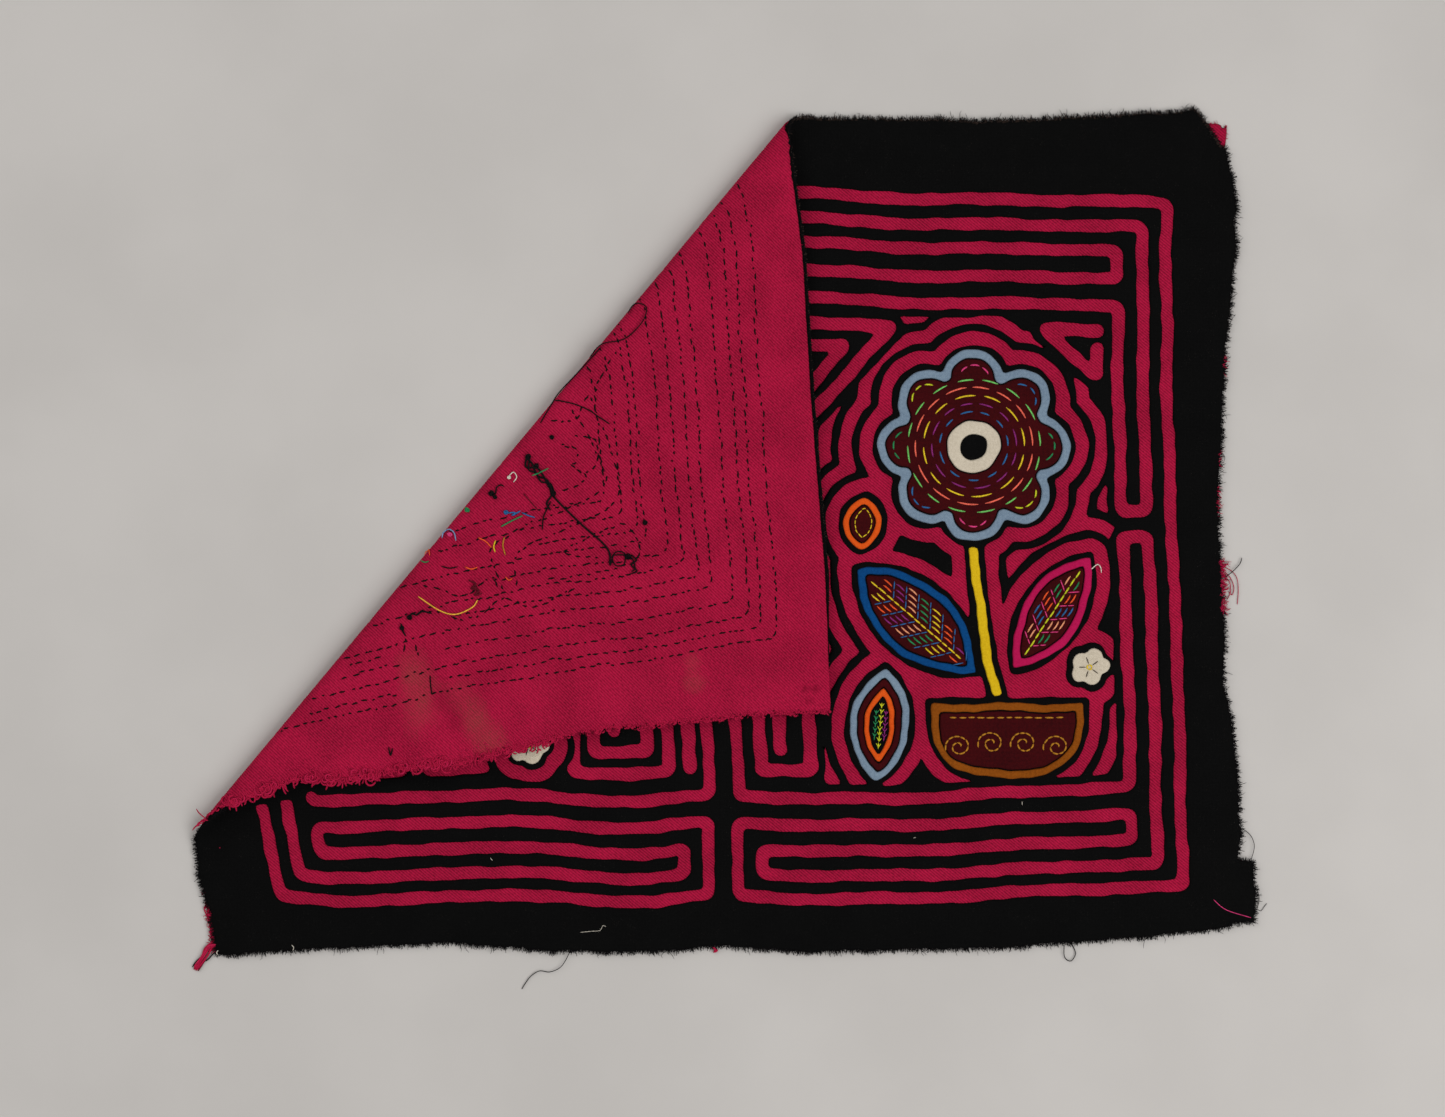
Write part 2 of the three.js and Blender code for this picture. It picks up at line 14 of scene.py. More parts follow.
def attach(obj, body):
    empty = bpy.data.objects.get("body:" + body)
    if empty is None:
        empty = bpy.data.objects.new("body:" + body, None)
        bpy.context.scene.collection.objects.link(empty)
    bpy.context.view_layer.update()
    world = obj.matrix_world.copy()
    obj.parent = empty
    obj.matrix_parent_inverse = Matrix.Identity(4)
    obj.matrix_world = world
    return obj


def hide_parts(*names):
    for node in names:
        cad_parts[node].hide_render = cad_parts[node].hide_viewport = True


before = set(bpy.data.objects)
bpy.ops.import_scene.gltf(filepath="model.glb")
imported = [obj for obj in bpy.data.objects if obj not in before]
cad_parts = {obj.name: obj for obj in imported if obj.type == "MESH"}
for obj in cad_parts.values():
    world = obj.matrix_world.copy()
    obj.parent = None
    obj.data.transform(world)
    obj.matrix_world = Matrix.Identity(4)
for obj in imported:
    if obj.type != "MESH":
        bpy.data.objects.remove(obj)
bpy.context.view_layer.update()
rng = np.random.default_rng(11)
MM = 0.001

# Layers: heights above the floor where the panel lies flat, and the two cloths together.
BACKING_LOW = 0.35
BACKING_HIGH = 1.15
TOP_LOW = 1.15
TOP_HIGH = 2.1
PATCH_LOW = 2.05
PATCH_HIGH = 2.9
STACK = 2.3

# Folded corner: the ends of its crease, the loop of the fold, and how the flap settles, shortens and slants.
CREASE_TOP = np.array([25.5, 170.7])
CREASE_LEFT = np.array([-215.0, -117.4])
ALONG = (CREASE_LEFT - CREASE_TOP) / np.linalg.norm(CREASE_LEFT - CREASE_TOP)
OUT = np.array([ALONG[1], -ALONG[0]])
LOOP_RADIUS = 4.6
FLAP_AIR = 2.0
FLAP_REST = 2 * STACK + FLAP_AIR
FLAP_SETTLE = 60.0
FLAP_TAKE_UP = 0.03
FLAP_SHEAR = 0.0726
BEND_LENGTH = math.pi * (LOOP_RADIUS - STACK / 2)
# Ripples run in from the flap's lower edge: v, width below it, width above it, height.
RIPPLES = ((-18.0, 15.0, 5.0, 3.9), (15.0, 8.0, 7.0, 2.4))
RIPPLE_FROM = -156.0
RIPPLE_FULL = -204.0
# Low swells all over the flap: height, and how far from the fold they are full.
SWELL = 0.35
SWELL_FULL = 25
# Small rises all over the top cloth, and a soft ridge along its lower left edge.
SMALL_RISE = 0.12
RIDGE_AT = -209.5
RIDGE_MIDDLE = -153
RIDGE_LEAN = -0.2
RIDGE_WIDTH = 3.2
RIDGE_REACH = 16
RIDGE_RISE = 0.9

# Raw edge of the top cloth, clockwise from the folded corner: u, v.
EDGE = np.array([
    (-216.9, 160.9), (-163.0, 164.1), (-91.4, 167.4), (-30.3, 171.6), (31.7, 172.3), (73.3, 171.9),
    (115.0, 171.0), (156.7, 173.1), (181.7, 174.4), (190.5, 175.0), (194.6, 176.4), (197.3, 174.8),
    (206.9, 160.4), (208.6, 160.5), (210.2, 152.5), (212.4, 143.0), (213.7, 134.0), (212.2, 130.0),
    (213.0, 118.5), (208.3, 71.9), (205.4, 9.4), (208.3, -42.7), (207.9, -63.5), (212.1, -84.4),
    (214.4, -111.5), (214.8, -127.8), (213.7, -132.3), (214.2, -136.3), (220.2, -136.9), (220.6, -145.0),
    (221.0, -153.0), (220.7, -162.0), (212.1, -162.6), (207.9, -164.5), (198.6, -165.6), (177.5, -167.9),
    (115.0, -172.7), (31.7, -174.4), (0.4, -171.9), (-30.8, -174.4),
    (-72.5, -174.0), (-114.2, -170.6), (-187.0, -174.0), (-207.9, -176.0),
    (-210.8, -175.0), (-213.7, -159.4), (-218.3, -142.7), (-220.5, -126.0), (-214.6, -108.9),
    (-209.1, -77.6), (-212.9, -47.2), (-211.3, -30.9), (-213.1, -5.0), (-209.7, 51.0), (-214.3, 128.4),
])
EDGE_STEP = 1.2
# How far each cloth is drawn in from it: all round, along the flap's lower side, and along its right side.
TOP_INSET = (0.0, 2.6, -1.7)
BACKING_INSET = (1.2, 1.9, 0.0)
# How far the backing shows past the edge at the lower left.
BACKING_SHOWS = 1.5
TOP_RAGGED = 0.34
BACKING_RAGGED = 0.42
# Tugs that make a cut edge ragged: from place to place, and in waves, as places to a wave and size.
FINE_TUG = 0.4
TUGS = ((4, 0.4), (9, 0.35), (23, 0.7))
# The backing's own corner at the upper right, with a notch, in the place of these points of the edge.
BACKING_CORNER = (
    (197.0, 170.4), (206.8, 170.2), (207.5, 168.0), (208.5, 168.3), (209.3, 170.6), (209.5, 167.0),
    (208.7, 161.0),
)
BACKING_CORNER_AT = (10, 14)

# Border meander: channel centre lines, as lanes out from the middle line and rows in v.
CHANNEL = 5.0
CORNER_RADIUS = 2.4
MIDDLE = -0.8
LANE = {"centre": 6, "hook": 16, "inner": 167.5, "second": 178, "outer": 188}
UPPER = {"outer": 139.8, "second": 129.4, "third": 119.4, "fourth": 107.7, "inner": 96.5, "turn": 8.5}
LOWER = {
    "outer": -151.9, "second": -142.3, "third": -132, "fourth": -121.3, "inner": -110.2, "turn": -2.2,
    "field": -70,
}
LEFT_END = {"outer": -108.0, "second": -104.0, "inner": -108.5}
# The lanes left of a gap are cut off square along a slanting line: its place, its slope, the gap.
LEFT_CUT = (-192.0, -113.0)
LEFT_CUT_SLOPE = 0.17
LANE_GAP = -176.5
# Lanes stand further apart below this level, and all lines wander.
SPREAD = 1.1e-4
SPREAD_LEVEL = -6
WANDER = 0.8

# Field: channels and the black between them, spirals as corners, a bar, and the patches.
FIELD_CHANNEL = 5.4
FIELD_BLACK = 3.2
FIELD_PITCH = FIELD_CHANNEL + FIELD_BLACK
SPIRALS = (
    ((156.5, 86), (134, 86), (156.5, 65)),
    ((22, 86), (71, 86), (22, 35)),
    ((15, -66), (15, -98.8), (36, -98.8), (36, -66)),
    ((-63, -66), (-63, -98.8), (-23.6, -98.8), (-23.6, -66)),
    ((-122, -70), (-122, -98.8), (-98, -98.8), (-98, -70)),
    ((-160, -78), (-160, -98.8), (-132, -98.8), (-132, -78)),
)
BAR = np.array([(-14.8, -72.0), (-14.8, -98.6)])
SPIRAL_RADIUS = 1.6
# Echo channels round the plant: the first one's distance from it, and how many.
ECHO = 5.0
ECHOES = 3
FLOWER = {"at": (104, 36), "petals": 8, "reach": 27, "lobe": 13, "core": 32.4}
FLOWER_RIM = 3.6
RING_OUTER = 11
RING_INNER = 5.5
BLOSSOM = {"at": (152, -56), "petals": 5, "reach": 4.6, "lobe": 3.6, "core": 5.4}
SECOND_BLOSSOM = {**BLOSSOM, "at": (-81, -88.5)}
BLUE_LEAF = {"base": (105, -58), "tip": (55, -15), "half": 15}
PINK_LEAF = {"base": (121, -57), "tip": (152, -10), "half": 12}
POD = {"base": (67, -56), "tip": (63, -104), "half": 12.5}
BUD = {"base": (57, -7), "tip": (59, 15), "half": 8}
LEAF_RIM = 3.2
BUD_RIM = 2.6
POD_RIMS = (("pod_rim", 0.0, 3.0), ("pod_band", 3.3, 5.7), ("pod_line", 6.0, 8.2))
POT = {"u": 118, "top": -71, "half": 32, "depth": 31}
POT_RIM = 3.4
STEM = ((104.2, -6.5), (106, -40), (114, -68.5))
STEM_WIDTH = 4
# Air between neighbouring patches.
AIR = 0.3
# Steps along the outlines.
OUTLINE_STEP = 1.2
BLOSSOM_STEP = 0.8
STRAIGHT_STEP = 1.4
CUT_STEP = 1.5
# Channels are worked out on a grid, as distances from lines that are near enough, with a little unevenness.
GRID = 0.7
NEAR = 26.0
CUT_WAVE = 0.34
CUT_RIPPLE = 0.22
SMALLEST_CUT = 26

# How far sewing pulls the patches' edges, in short and in long waves.
PULL = 0.15
BOW = 0.5

# Meshes: height of an even triangle, rows along the fold, thin ends of threads, scale of the flat map.
ROW_HEIGHT = 0.866
FOLD_STEP = 3.0
FOLD_ROWS = 11
THREAD_TIP = 0.5
FLAT_UNIT = 10


def srgb(r, g, b):
    """A colour from its 0 to 255 display values."""
    c = np.array([r, g, b]) / 255.0
    return tuple(np.where(c <= 0.04045, c / 12.92, ((c + 0.055) / 1.055) ** 2.4))


# Folding


def ease(x):
    t = np.clip(x, 0.0, 1.0)
    return t * t * (3 - 2 * t)


def hump(x, middle, width):
    """A soft rise to 1 about a middle."""
    return np.exp(-(((x - middle) / width) ** 2))


def past_bend(uv):
    """Distance past the line where the cloth starts to rise into the fold."""
    return (uv - CREASE_TOP) @ OUT + LOOP_RADIUS


def flap_height(run, uv):
    """Height of the flap's upper side."""
    u, v = uv[..., 0], uv[..., 1]
    height = 2 * LOOP_RADIUS + (FLAP_REST - 2 * LOOP_RADIUS) * ease(run / FLAP_SETTLE)
    fade = ease((RIPPLE_FROM - u) / (RIPPLE_FROM - RIPPLE_FULL))
    for at, below, above, rise in RIPPLES:
        height = height + fade * rise * hump(v, at, np.where(v < at, below, above))
    swell = np.sin(u / 19 + 0.4) * np.sin(v / 23 + 1.1) + 0.6 * np.sin((u + v) / 13)
    return height + SWELL * swell * ease(run / SWELL_FULL)


def lay(uv, w):
    """Places in space, in metres, of flat places once the corner is folded over."""
    uv = np.asarray(uv, float)
    w = np.broadcast_to(np.asarray(w, float), uv.shape[:-1])
    s = past_bend(uv)
    drift = (uv - CREASE_TOP) @ ALONG
    angle = np.pi * np.clip(s / BEND_LENGTH, 0, 1)
    run = np.maximum(s - BEND_LENGTH, 0)
    reach = -LOOP_RADIUS + (LOOP_RADIUS - w) * np.sin(angle) - run * (1 - FLAP_TAKE_UP)
    z = np.where(s < BEND_LENGTH, LOOP_RADIUS - (LOOP_RADIUS - w) * np.cos(angle), flap_height(run, uv) - w)
    drift = drift + run * FLAP_SHEAR
    folded = CREASE_TOP + reach[..., None] * OUT + drift[..., None] * ALONG
    flat = (s <= 0)[..., None]
    return np.concatenate([np.where(flat, uv, folded), np.where(s <= 0, w, z)[..., None]], -1) * MM


def unfold(xy):
    """Flat places of what lies on the flap at xy, in millimetres."""
    off = np.asarray(xy, float) - CREASE_TOP
    run = (-LOOP_RADIUS - off @ OUT) / (1 - FLAP_TAKE_UP)
    drift = off @ ALONG - FLAP_SHEAR * run
    return CREASE_TOP + (BEND_LENGTH + run - LOOP_RADIUS)[..., None] * OUT + drift[..., None] * ALONG


# Lines and outlines


def left_turn(d):
    """Directions turned to their left."""
    return np.stack([-d[..., 1], d[..., 0]], -1)


def cross(a, b):
    return a[..., 0] * b[..., 1] - a[..., 1] * b[..., 0]


def directions(angle):
    return np.stack([np.cos(angle), np.sin(angle)], -1)


def ring_of(loop):
    """A loop with its first place again at its end."""
    return np.concatenate([loop, loop[:1]])


def wander(p):
    """A line with the slight waves of hand work."""
    u, v = p[:, 0], p[:, 1]
    du = np.sin(v / 23 + 0.7) + 0.5 * np.sin(v / 9.1 + u / 40)
    dv = np.sin(u / 27 + 1.9) + 0.5 * np.sin(u / 10.3 + v / 35)
    return p + WANDER * np.stack([du, dv], 1)


def hand_drawn(p):
    """The border's rows and lanes, as they bow on a piece that is drawn and sewn by hand."""
    u, v = p[:, 0], p[:, 1]
    low, high = ease((-60 - v) / 45), ease((v - 60) / 30)
    left, right = ease(-u / 30), ease(u / 40)
    lower_left_waves = -2.0 * np.cos((u + 160) / 19.9)
    lower_right_climb = 0.031 * np.maximum(u - 40, 0) - 0.6
    upper_fall = 1.25 - 0.033 * (u - 44)
    dv = low * (lower_left_waves * left + lower_right_climb * right) + high * upper_fall
    right_lane_bows = ease((u - 120) / 30) * (1.5 * hump(v, -60, 30) - 2.0 * hump(v, 30, 40))
    lower_left_lean = 0.26 * np.clip(-124 - v, -10, 30) * np.clip((-u - 90) / 95, 0, 1) ** 0.5 * low
    return wander(p + np.stack([right_lane_bows + lower_left_lean, dv], 1))


def divided(points, step):
    """A line with its straights divided."""
    parts = [points[:1]]
    for p, q in zip(points, points[1:]):
        n = max(1, round(np.linalg.norm(q - p) / step))
        parts.append(p + (q - p) * np.linspace(0, 1, n + 1)[1:, None])
    return np.concatenate(parts)


def rounded_line(points, radius, step=6.0):
    """A line through corners, each turned in a small round."""
    points = np.array(points, float)
    turns = [points[:1]]
    for a, b, c in zip(points, points[1:], points[2:]):
        back = (a - b) * min(radius / np.linalg.norm(a - b), 0.5)
        on = (c - b) * min(radius / np.linalg.norm(c - b), 0.5)
        angle = np.linspace(0, math.pi / 2, 6)[:, None]
        turns.append(b + back * (1 - np.sin(angle)) + on * (1 - np.cos(angle)))
    return divided(np.concatenate(turns + [points[-1:]]), step)


def channel_corners(rows, text):
    """Corners of a channel, from the name of the lane and the row of each."""
    return [(LANE[lane], rows[row]) for lane, row in map(str.split, text.split(","))]


def border_lines():
    """The centre lines of the border's channels."""
    lower_frame = channel_corners(
        LOWER,
        "outer outer, centre outer, centre fourth, inner fourth, "
        "inner third, hook third, hook second, second second",
    )
    lower_field = channel_corners(LOWER, "inner inner, centre inner, centre field")
    upper_field = channel_corners(
        UPPER, "hook inner, inner inner, inner turn, second turn, second second, hook second"
    )
    upper_hairpin = channel_corners(UPPER, "hook third, inner third, inner fourth, hook fourth")
    right_frame = [
        *channel_corners(UPPER, "hook outer, outer outer"), *lower_frame,
        *channel_corners(LOWER, "second turn, inner turn"), *lower_field,
    ]
    left_frame = [
        *channel_corners(LEFT_END, "outer outer"), *lower_frame, *channel_corners(LEFT_END, "second second"),
    ]
    left_field = [*channel_corners(LEFT_END, "inner inner"), *lower_field]
    lines = []
    sides = ((1, upper_field), (1, upper_hairpin), (1, right_frame), (-1, left_frame), (-1, left_field))
    for side, turns in sides:
        out, v = rounded_line(turns, CORNER_RADIUS).T
        u = MIDDLE + side * out * (1 - SPREAD * (v - SPREAD_LEVEL))
        lines.append(hand_drawn(np.stack([u, v], 1)))
    return lines


def spiral_line(corners):
    """A line that runs round inside its corners, one pitch further in at each turn."""
    corners = np.array(corners, float)
    count = len(corners)
    nexts = np.roll(corners, -1, 0)
    turn = np.sign(np.sum(cross(corners, nexts)))

    def side(m):
        a = corners[m % count]
        d = (nexts[m % count] - a) / np.linalg.norm(nexts[m % count] - a)
        return a + turn * left_turn(d) * FIELD_PITCH * (m // count), d

    points = [corners[0]]
    for m in range(40):
        (a, d), (b, e) = side(m), side(m + 1)
        meet = a + d * np.linalg.solve(np.stack([d, -e], 1), b - a)[0]
        if (meet - points[-1]) @ d < 0.75 * FIELD_PITCH:
            break
        points.append(meet)
    return hand_drawn(rounded_line(points, SPIRAL_RADIUS))


def leaf_frame(shape):
    """A leaf's base and tip, its length, and the directions along and across it."""
    base, tip = np.array(shape["base"], float), np.array(shape["tip"], float)
    length = np.linalg.norm(tip - base)
    axis = (tip - base) / length
    return base, tip, length, axis, left_turn(axis)


def leaf_outline(shape, inset):
    """Two arcs that meet in points at the base and the tip."""
    base, tip, length, axis, across = leaf_frame(shape)
    half = shape["half"]
    arc = (length**2 / 4 + half**2) / (2 * half)
    radius = arc - inset
    end = math.acos((arc - half) / radius)
    angle = np.linspace(-end, end, max(8, round(2 * end * radius / OUTLINE_STEP)), endpoint=False)
    a, b = radius * np.sin(angle), radius * np.cos(angle) - arc + half
    side = np.concatenate([np.stack([a, b], 1), np.stack([-a, -b], 1)])
    return (base + tip) / 2 + side[:, :1] * axis + side[:, 1:] * across


def petalled_outline(shape, inset, step=OUTLINE_STEP):
    """Round lobes about a round core."""
    petals, reach = shape["petals"], shape["reach"]
    steps = petals * max(8, round(2 * math.pi * (reach + shape["lobe"]) / petals / step))
    angle = np.arange(steps) * 2 * math.pi / steps
    near = np.abs((angle + math.pi / petals) % (2 * math.pi / petals) - math.pi / petals)
    room = (shape["lobe"] - inset) ** 2 - (reach * np.sin(near)) ** 2
    lobed = np.where(room > 0, reach * np.cos(near) + np.sqrt(np.maximum(room, 0)), 0)
    r = np.maximum(shape["core"] - inset, lobed)
    return np.array(shape["at"]) + r[:, None] * directions(angle)


def flower_circle(radius):
    """A circle about the flower's middle."""
    angle = np.linspace(0, 2 * math.pi, max(16, round(2 * math.pi * radius / OUTLINE_STEP)), endpoint=False)
    return np.array(FLOWER["at"]) + radius * directions(angle)


def bowl_outline(shape, inset):
    """A straight brim over a full round belly."""
    angle = np.linspace(0, math.pi, 60)
    x = np.sign(np.cos(angle)) * np.abs(np.cos(angle)) ** 0.6
    drop = (shape["depth"] - 2 * inset) * np.maximum(np.sin(angle), 0) ** 0.8
    points = np.stack([shape["u"] + (shape["half"] - inset) * x, shape["top"] - inset - drop], 1)
    return divided(ring_of(points), STRAIGHT_STEP)[:-1]


def stem_line():
    """One even bend from the flower down to the pot."""
    t = np.linspace(0, 1, 40)[:, None]
    a, b, c = (np.array(p, float) for p in STEM)
    return (1 - t) ** 2 * a + 2 * t * (1 - t) * b + t * t * c


def strip_outline(line, width):
    d = np.gradient(line, axis=0)
    across = left_turn(d) / np.linalg.norm(d, axis=1)[:, None] * width / 2
    points = np.concatenate([line + across, (line - across)[::-1]])
    return divided(ring_of(points), STRAIGHT_STEP)[:-1]


# Channels: the places of the top cloth that are cut away


def line_distance(x, y, line):
    """Distance to an open line, as far as it is near."""
    far = np.full(x.shape, 1e3)
    for a, b in zip(line, line[1:]):
        low, high = np.minimum(a, b) - NEAR, np.maximum(a, b) + NEAR
        i0, i1 = np.searchsorted(y[:, 0], (low[1], high[1]))
        j0, j1 = np.searchsorted(x[0], (low[0], high[0]))
        px, py = x[i0:i1, j0:j1] - a[0], y[i0:i1, j0:j1] - a[1]
        run = b - a
        t = np.clip((px * run[0] + py * run[1]) / max(run @ run, 1e-9), 0, 1)
        there = far[i0:i1, j0:j1]
        np.minimum(there, np.hypot(px - t * run[0], py - t * run[1]), out=there)
    return far


def outline_distance(x, y, outline):
    """Distance to a closed outline, negative inside it."""
    ring = ring_of(outline)
    far = line_distance(x, y, ring)
    inside = np.zeros(x.shape, bool)
    for a, b in zip(ring, ring[1:]):
        if a[1] == b[1]:
            continue
        crosses = (y > min(a[1], b[1])) & (y <= max(a[1], b[1]))
        inside ^= crosses & (x < a[0] + (y - a[1]) * (b[0] - a[0]) / (b[1] - a[1]))
    return np.where(inside, -far, far)


def contour_loops(g, x0, y0, step):
    """Closed lines round the places where g is below 0, with those places on their left."""
    rows, columns = g.shape
    inside = g < 0
    kind = inside[:-1, :-1] + 2 * inside[:-1, 1:] + 4 * inside[1:, 1:] + 8 * inside[1:, :-1]
    low, right, high, left = 0, 1, 2, 3
    turns = {
        1: [(low, left)], 2: [(right, low)], 4: [(high, right)], 8: [(left, high)], 3: [(right, left)],
        6: [(high, low)], 12: [(left, right)], 9: [(low, high)], 7: [(high, left)], 14: [(left, low)],
        13: [(low, right)], 11: [(right, high)], 5: [(low, left), (high, right)],
        10: [(right, low), (left, high)],
    }

    def edge(side, i, j):
        start = i * columns + j + {low: 0, high: columns, left: 0, right: 1}[side]
        return start + (rows * columns if side in (left, right) else 0)

    follows = {}
    for case, ways in turns.items():
        i, j = np.nonzero(kind == case)
        for start, end in ways:
            follows.update(zip(edge(start, i, j).tolist(), edge(end, i, j).tolist()))
    loops = []
    while follows:
        first, at = follows.popitem()
        loop = [first]
        while at != first:
            loop.append(at)
            at = follows.pop(at)
        ids = np.array(loop)
        upright = ids >= rows * columns
        i, j = np.divmod(ids % (rows * columns), columns)
        i2, j2 = i + upright, j + ~upright
        share = g[i, j] / (g[i, j] - g[i2, j2])
        loops.append(np.stack([x0 + step * (j + share * (j2 - j)), y0 + step * (i + share * (i2 - i))], 1))
    return loops


def even_loop(loop, step, smooth):
    """A loop smoothed some times over, with its places one step apart."""
    for _ in range(smooth):
        loop = (np.roll(loop, 1, 0) + 2 * loop + np.roll(loop, -1, 0)) / 4
    ring = ring_of(loop)
    along = np.concatenate([[0], np.cumsum(np.linalg.norm(np.diff(ring, axis=0), axis=1))])
    n = max(8, round(along[-1] / step))
    at = np.arange(n) * along[-1] / n
    return np.stack([np.interp(at, along, ring[:, k]) for k in (0, 1)], 1)


def loop_area(loop):
    return 0.5 * np.sum(cross(loop, np.roll(loop, -1, 0)))


def left_of(loop):
    """Unit directions to the left of a closed line."""
    d = np.roll(loop, -1, 0) - np.roll(loop, 1, 0)
    return left_turn(d) / np.maximum(np.linalg.norm(d, axis=1), 1e-9)[:, None]


def plant_outlines():
    """The whole outline of each part of the plant, as the echo channels follow them."""
    return [
        petalled_outline(FLOWER, 0), petalled_outline(BLOSSOM, 0), leaf_outline(BLUE_LEAF, 0),
        leaf_outline(PINK_LEAF, 0), leaf_outline(POD, 0), leaf_outline(BUD, 0), bowl_outline(POT, 0),
        strip_outline(stem_line(), STEM_WIDTH),
    ]


def channel_loops():
    """The cut edges of all the channels, with the channels on their left."""
    x, y = np.meshgrid(np.arange(-212, 213, GRID), np.arange(-168, 162, GRID))

    def nearest(lines, distance):
        return np.min([distance(x, y, line) for line in lines], 0)

    half = FIELD_CHANNEL / 2
    border = nearest(border_lines(), line_distance) - CHANNEL / 2
    past_end = y - LEFT_CUT[1] - LEFT_CUT_SLOPE * (x - LEFT_CUT[0])
    border = np.where(x < LANE_GAP, np.maximum(border, past_end), border)
    spiral = nearest([*map(spiral_line, SPIRALS), hand_drawn(BAR)], line_distance) - half
    plant = nearest(plant_outlines(), outline_distance)
    second = outline_distance(x, y, petalled_outline(SECOND_BLOSSOM, 0))
    motif = np.minimum(plant, second)
    first = np.maximum(np.abs(motif - ECHO) - half, FIELD_BLACK - border)
    spiral = np.maximum(spiral, ECHO + half + FIELD_BLACK - motif)
    cut = np.minimum.reduce([border, first, spiral])
    for turn in range(1, ECHOES):
        echo = np.abs(plant - ECHO - turn * FIELD_PITCH) - half
        cut = np.minimum(cut, np.maximum.reduce([echo, FIELD_BLACK - border, FIELD_BLACK - spiral]))
    cut += CUT_WAVE * np.sin(x / 4.1 + 1.7 * np.sin(y / 7.3)) * np.sin(y / 3.7 + 1.3 * np.sin(x / 8.9))
    cut += CUT_RIPPLE * np.sin(x / 1.7 + y / 5.3) * np.sin(y / 1.6 - x / 6.1)
    loops = [even_loop(loop, CUT_STEP, 2) for loop in contour_loops(cut, x[0, 0], y[0, 0], GRID)]
    return [loop for loop in loops if abs(loop_area(loop)) > SMALLEST_CUT]


# Cloth


def cloth_places(loops, rings, fill_step, extra):
    """Places on the cut edges, on rings inside them, and all over between, with their depths from the edges."""
    cut = np.concatenate(loops)
    tree = KDTree(len(cut))
    for i, (u, v) in enumerate(cut):
        tree.insert((u, v, 0), i)
    tree.balance()

    def clear(points, least):
        return np.array([tree.find((u, v, 0))[2] >= least for u, v in points], bool)

    places, depth = [cut], [np.zeros(len(cut))]
    inward = np.concatenate([left_of(loop) for loop in loops])
    for ring in rings:
        points = cut + inward * ring
        points = points[clear(points, 0.8 * ring)]
        places.append(points)
        depth.append(np.full(len(points), ring))
    low, high = cut.min(0), cut.max(0)
    v, u = np.meshgrid(
        np.arange(low[1], high[1], ROW_HEIGHT * fill_step), np.arange(low[0], high[0], fill_step), indexing="ij"
    )
    u[1::2] += fill_step / 2
    fill = np.concatenate([np.stack([u.ravel(), v.ravel()], 1), extra])
    fill = fill[clear(fill, rings[-1] + 0.4 * fill_step)]
    places.append(fill)
    depth.append(np.full(len(fill), 1e3))
    return np.concatenate(places), np.concatenate(depth)


def triangle_turns(places, triangles):
    """Twice the area of each triangle, negative where it is turned over."""
    a, b, c = (places[triangles[:, k]] for k in range(3))
    return cross(b - a, c - a)


def cloth_triangles(loops, places, depth):
    """The places in use, their depths, and the triangles on the left of the loops, whose places come first."""
    edges, start = [], 0
    for loop in loops:
        n = len(loop)
        edges += [(start + i, start + (i + 1) % n) for i in range(n)]
        start += n
    out = delaunay_2d_cdt([Vector(p) for p in places], edges, [], 0, 1e-6)
    found = np.array([tuple(p) for p in out[0]])
    source = np.array([ids[0] if ids else -1 for ids in out[3]])
    depth = np.where(source >= 0, depth[source], 0.0)
    place_of = np.full(len(places), -1)
    for new, ids in enumerate(out[3]):
        place_of[ids] = new
    triangles = np.array(out[2])
    turn = triangle_turns(found, triangles)
    triangles[turn < 0] = triangles[turn < 0][:, ::-1]

    # The neighbour across each side. The cloth grows from the cut edges and stops at them.
    size = len(found)
    sides = np.stack([triangles, np.roll(triangles, -1, 1)], 2)
    ahead = (sides[..., 0] * size + sides[..., 1]).ravel()
    back = (sides[..., 1] * size + sides[..., 0]).ravel()
    order = np.argsort(ahead)
    spot = np.clip(np.searchsorted(ahead[order], back), 0, len(ahead) - 1)
    neighbour = np.where(ahead[order][spot] == back, order[spot] // 3, -1).reshape(-1, 3)
    cuts = place_of[np.array(edges)]
    cut_ahead = cuts[:, 0] * size + cuts[:, 1]
    cut_back = cuts[:, 1] * size + cuts[:, 0]
    starts = np.isin(ahead, cut_ahead).reshape(-1, 3)
    walled = starts | np.isin(ahead, cut_back).reshape(-1, 3) | (neighbour < 0)
    cloth = starts.any(1)
    while True:
        grown = cloth | (cloth[neighbour] & ~walled).any(1)
        if grown.sum() == cloth.sum():
            break
        cloth = grown
    triangles = triangles[cloth]
    used = np.unique(triangles)
    renumber = np.full(size, -1)
    renumber[used] = np.arange(len(used))
    return found[used], depth[used], renumber[triangles]


def new_object(name, places, faces, materials, flat=None, face_material=None):
    """A mesh object from arrays: faces is a list of arrays of triangles, quads or larger."""
    mesh = bpy.data.meshes.new(name)
    mesh.vertices.add(len(places))
    mesh.vertices.foreach_set("co", np.asarray(places, np.float32).ravel())
    sizes = np.concatenate([np.full(len(f), f.shape[1]) for f in faces])
    corners = np.concatenate([f.ravel() for f in faces])
    mesh.loops.add(len(corners))
    mesh.loops.foreach_set("vertex_index", corners.astype(np.int32))
    mesh.polygons.add(len(sizes))
    starts = np.concatenate([[0], np.cumsum(sizes)[:-1]])
    mesh.polygons.foreach_set("loop_start", starts.astype(np.int32))
    mesh.polygons.foreach_set("use_smooth", np.full(len(sizes), True))
    if face_material is not None:
        mesh.polygons.foreach_set("material_index", np.asarray(face_material, np.int32))
    if flat is not None:
        layer = mesh.uv_layers.new(name="Flat")
        layer.uv.foreach_set("vector", (flat[corners] / FLAT_UNIT).astype(np.float32).ravel())
    for material in materials:
        mesh.materials.append(material)
    mesh.update(calc_edges=True)
    mesh.validate()
    obj = bpy.data.objects.new(name, mesh)
    bpy.context.scene.collection.objects.link(obj)
    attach(obj, "root")
    return obj


